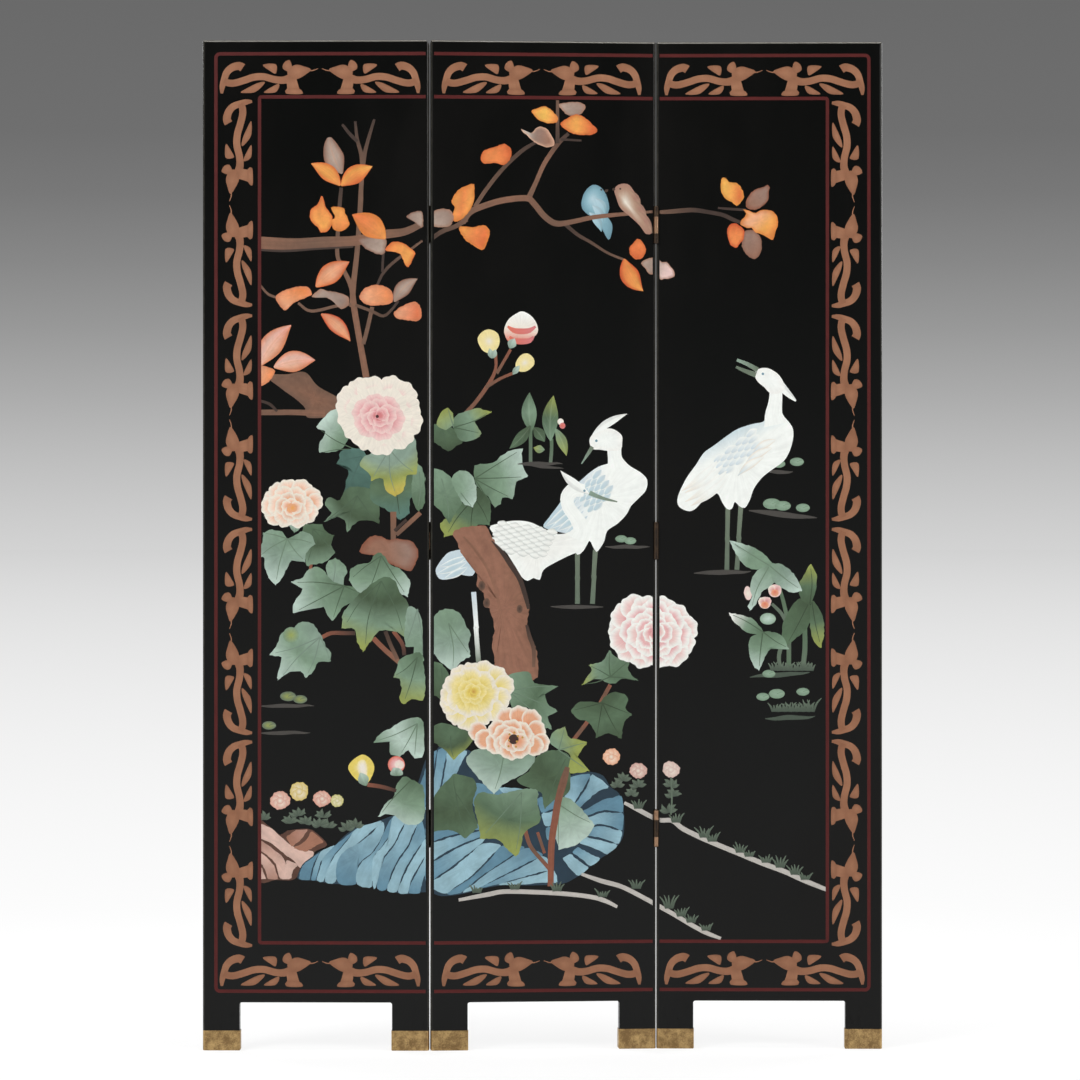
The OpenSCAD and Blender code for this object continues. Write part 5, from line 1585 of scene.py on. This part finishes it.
# %% Red lines
OUTER_LINE = (-326.0, 326.0, 59.0, 993.5)      # left, right, low and high
INNER_LINE = (-282.5, 284.5, 107.3, 950.5)
LINE_WIDTH = 3.4


def frame_line(left, right, low, high, corner):
    """A closed line with small round corners, in four strokes and four bends."""
    k = corner
    for a, b in (((left + k, high), (right - k, high)), ((left + k, low), (right - k, low)),
                 ((left, low + k), (left, high - k)), ((right, low + k), (right, high - k))):
        stroke("red_line", [(*a, LINE_WIDTH), (*b, LINE_WIDTH)], [RED], spacing=12.0)
    for cx, cy, start in ((right - k, high - k, 0), (left + k, high - k, 90), (left + k, low + k, 180),
                          (right - k, low + k, 270)):
        turn = [math.radians(start + 18*s) for s in range(6)]
        stroke("red_line", [(cx + k*math.cos(a), cy + k*math.sin(a), LINE_WIDTH) for a in turn], [RED],
               spacing=1.5)


frame_line(*OUTER_LINE, 4.0)
frame_line(*INNER_LINE, 2.0)
print("two red lines")

# %% [markdown]
# ## The creature
#
# It has a hooked tail, a long waved body, a low head with a snout and two whiskers, an ear, a leg with a
# spreading foot, and small fins above and below. Its own place is measured from the middle of its pair.

# %% The creature and its places
def creature(place):
    """place turns the creature's own (u, v) into the cartoon's (x, y)."""
    def line(points, tones=(COPPER, COPPER_LIGHT, COPPER), spacing=2.0):
        stroke("copper", [(*place(u, v), w) for u, v, w in points], list(tones), spacing=spacing)

    def shape(points):
        patch("copper", [place(u, v) for u, v in points], [COPPER_LIGHT, COPPER], spacing=2.0)

    shape([(-79, 2), (-66, 2), (-58, 8), (-55, 13), (-62, 12), (-72, 7)])
    shape([(-56, 2), (-45, 2), (-41, 7), (-41, 11), (-48, 8)])
    shape([(-57, 31), (-44, 31.5), (-44, 22), (-49, 24)])
    line([(-98, 1, 2.5), (-97.5, 8, 5.5), (-95.5, 16, 6.5), (-93, 23, 7), (-88, 28, 7.5), (-81, 30, 8),
          (-77, 28, 8.5)])
    line([(-96, 14, 7), (-91, 12, 7), (-85, 12, 7), (-75, 15, 7), (-66, 18, 7), (-56, 18.5, 7),
          (-45, 15.5, 7), (-36, 15, 7.5), (-27, 18, 9)])
    line([(-29, 18, 10), (-27.5, 10, 11), (-26, 3, 12)])
    shape([(-33, 6), (-21, 6), (-17, 1), (-24, 0), (-34, 1)])
    shape([(-31, 18), (-32, 26), (-24, 31), (-15, 29), (-9, 26), (-14, 21), (-23, 16)])
    shape([(-37, 27), (-36, 33), (-30.5, 36), (-28, 29), (-31, 24)])
    line([(-12, 25, 1.4), (-7, 25, 1.0), (-2, 27, 0.7)], spacing=1.2)


FLAT = 0.95                     # the creatures in the rows are a little flatter than the first drawing
SIDE_LONG, SIDE_THIN = 1.035, 0.87  # those up the sides are a little longer, and thinner
TOP_BASE, BOTTOM_BASE = 953.0, 63.2
SIDE_OFFSET = {-1: 6.5, 1: 3.5}  # from the inner line to the feet, on the left and on the right side
PAIR_MIDDLES = (-222.2, -1.8, 221.5)
SIDE_PAIRS = (844.5, 631.0, 418.0, 206.0)

for middle in PAIR_MIDDLES:
    for base in (TOP_BASE, BOTTOM_BASE):
        for way in (1, -1):
            creature(lambda u, v, m=middle, b=base, w=way: (m + w*u, b + v*FLAT))
for middle in SIDE_PAIRS:
    for way in (1, -1):
        for side, inner in ((-1, INNER_LINE[0]), (1, INNER_LINE[1])):
            creature(lambda u, v, m=middle, w=way, s=side, i=inner:
                     (i + s*(SIDE_OFFSET[s] + v*SIDE_THIN), m - w*u*SIDE_LONG))
print("border ready:", len(SHAPES), "shapes in all,", max(s.level for s in SHAPES), "layers at most")

# %% [markdown]
# # From the cartoon to the leaves
#
# Now each shape is laid on every leaf that it reaches, cut off where the leaf's flat face ends, and given a
# rim that sinks a little into the lacquer. One mesh for each leaf and finish keeps the scene light. A mesh
# for each shape would be easier to pick apart, but there are more than a thousand shapes.

# %% Lay the shapes on each leaf
RELIEF = 1.0*MM                 # the thickest the picture gets
LAYER = RELIEF/(max(s.level for s in SHAPES) + 1)
SUNK = 0.05*MM                  # how deep a rim goes into the lacquer
DOME = 0.7                      # how far a shape's middle rises above its edge, in layers
PICTURE_KINDS = tuple(PICTURE_FINISH)


def on_leaf(leaf, x, y, height):
    return (leaf.middle + leaf.sideways*((x*PAPER - leaf.sheet_x)*MM) + UP*(y*PAPER*MM)
            + leaf.outward*height)


def trim(bm, leaf, left, right):
    """Cut away what lies beyond the flat face. left and right are mm from the leaf's middle."""
    for limit, way in ((left, -1), (right, 1)):
        point = leaf.middle + leaf.sideways*(limit*MM)
        everything = bm.verts[:] + bm.edges[:] + bm.faces[:]
        bmesh.ops.bisect_plane(bm, geom=everything, plane_co=point, plane_no=leaf.sideways*way,
                               clear_outer=True, dist=1e-6)


def add_rims(bm, leaf):
    """Walls from every free edge down into the lacquer."""
    free = [e for e in bm.edges if e.is_boundary]
    made = bmesh.ops.extrude_edge_only(bm, edges=free)["geom"]
    face_level = leaf.middle.dot(leaf.outward) - SUNK
    for v in (g for g in made if isinstance(g, bmesh.types.BMVert)):
        v.co += leaf.outward*(face_level - v.co.dot(leaf.outward))


def picture_piece(leaf, kind):
    shapes = [s for s in SHAPES if s.kind == kind]
    low = (leaf.sheet_x - leaf.half_width)/PAPER
    high = (leaf.sheet_x + leaf.half_width)/PAPER
    shapes = [s for s in shapes if s.places[:, 0].max() > low and s.places[:, 0].min() < high]
    if not shapes:
        return None
    corners, faces, colours, along, across = [], [], [], [], []
    for s in shapes:
        first = len(corners)
        for (x, y), rise in zip(s.places, s.rise):
            corners.append(on_leaf(leaf, x, y, (s.level + DOME*rise)*LAYER))
        faces += [tuple(dict.fromkeys(first + c for c in face)) for face in s.faces]
        colours.append(s.tones)
        along.append(s.along)
        across.append(s.across)
    mesh = bpy.data.meshes.new(leaf.name + "_" + kind)
    mesh.from_pydata(corners, [], faces)
    paint = mesh.attributes.new("paint", "FLOAT_COLOR", "POINT")
    rgba = np.ones((len(corners), 4))
    rgba[:, :3] = np.clip(np.concatenate(colours), 0, 1)
    paint.data.foreach_set("color", rgba.ravel())
    for name, values in (("along", along), ("across", across)):
        mesh.attributes.new(name, "FLOAT", "POINT").data.foreach_set("value", np.concatenate(values))
    bm = bmesh.new()
    bm.from_mesh(mesh)
    inside = leaf.half_width - PICTURE_EDGE_TO_LEAF
    left, right = -inside, inside
    if kind not in ("copper", "red_line"):
        left = max(left, INNER_LINE[0]*PAPER - leaf.sheet_x)
        right = min(right, INNER_LINE[1]*PAPER - leaf.sheet_x)
    trim(bm, leaf, left, right)
    add_rims(bm, leaf)
    for f in bm.faces:
        f.smooth = True
    bm.to_mesh(mesh)
    bm.free()
    mesh.set_sharp_from_angle(angle=math.radians(35))
    piece = bpy.data.objects.new(leaf.name + "_" + kind, mesh)
    bpy.context.scene.collection.objects.link(piece)
    mesh.materials.append(PICTURE_FINISH[kind])
    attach(piece, leaf.name)
    return piece


for leaf in LEAVES:
    made = [p for p in (picture_piece(leaf, kind) for kind in PICTURE_KINDS) if p]
    print(leaf.name, "carries", len(made), "picture pieces with",
          sum(len(p.data.polygons) for p in made), "faces")
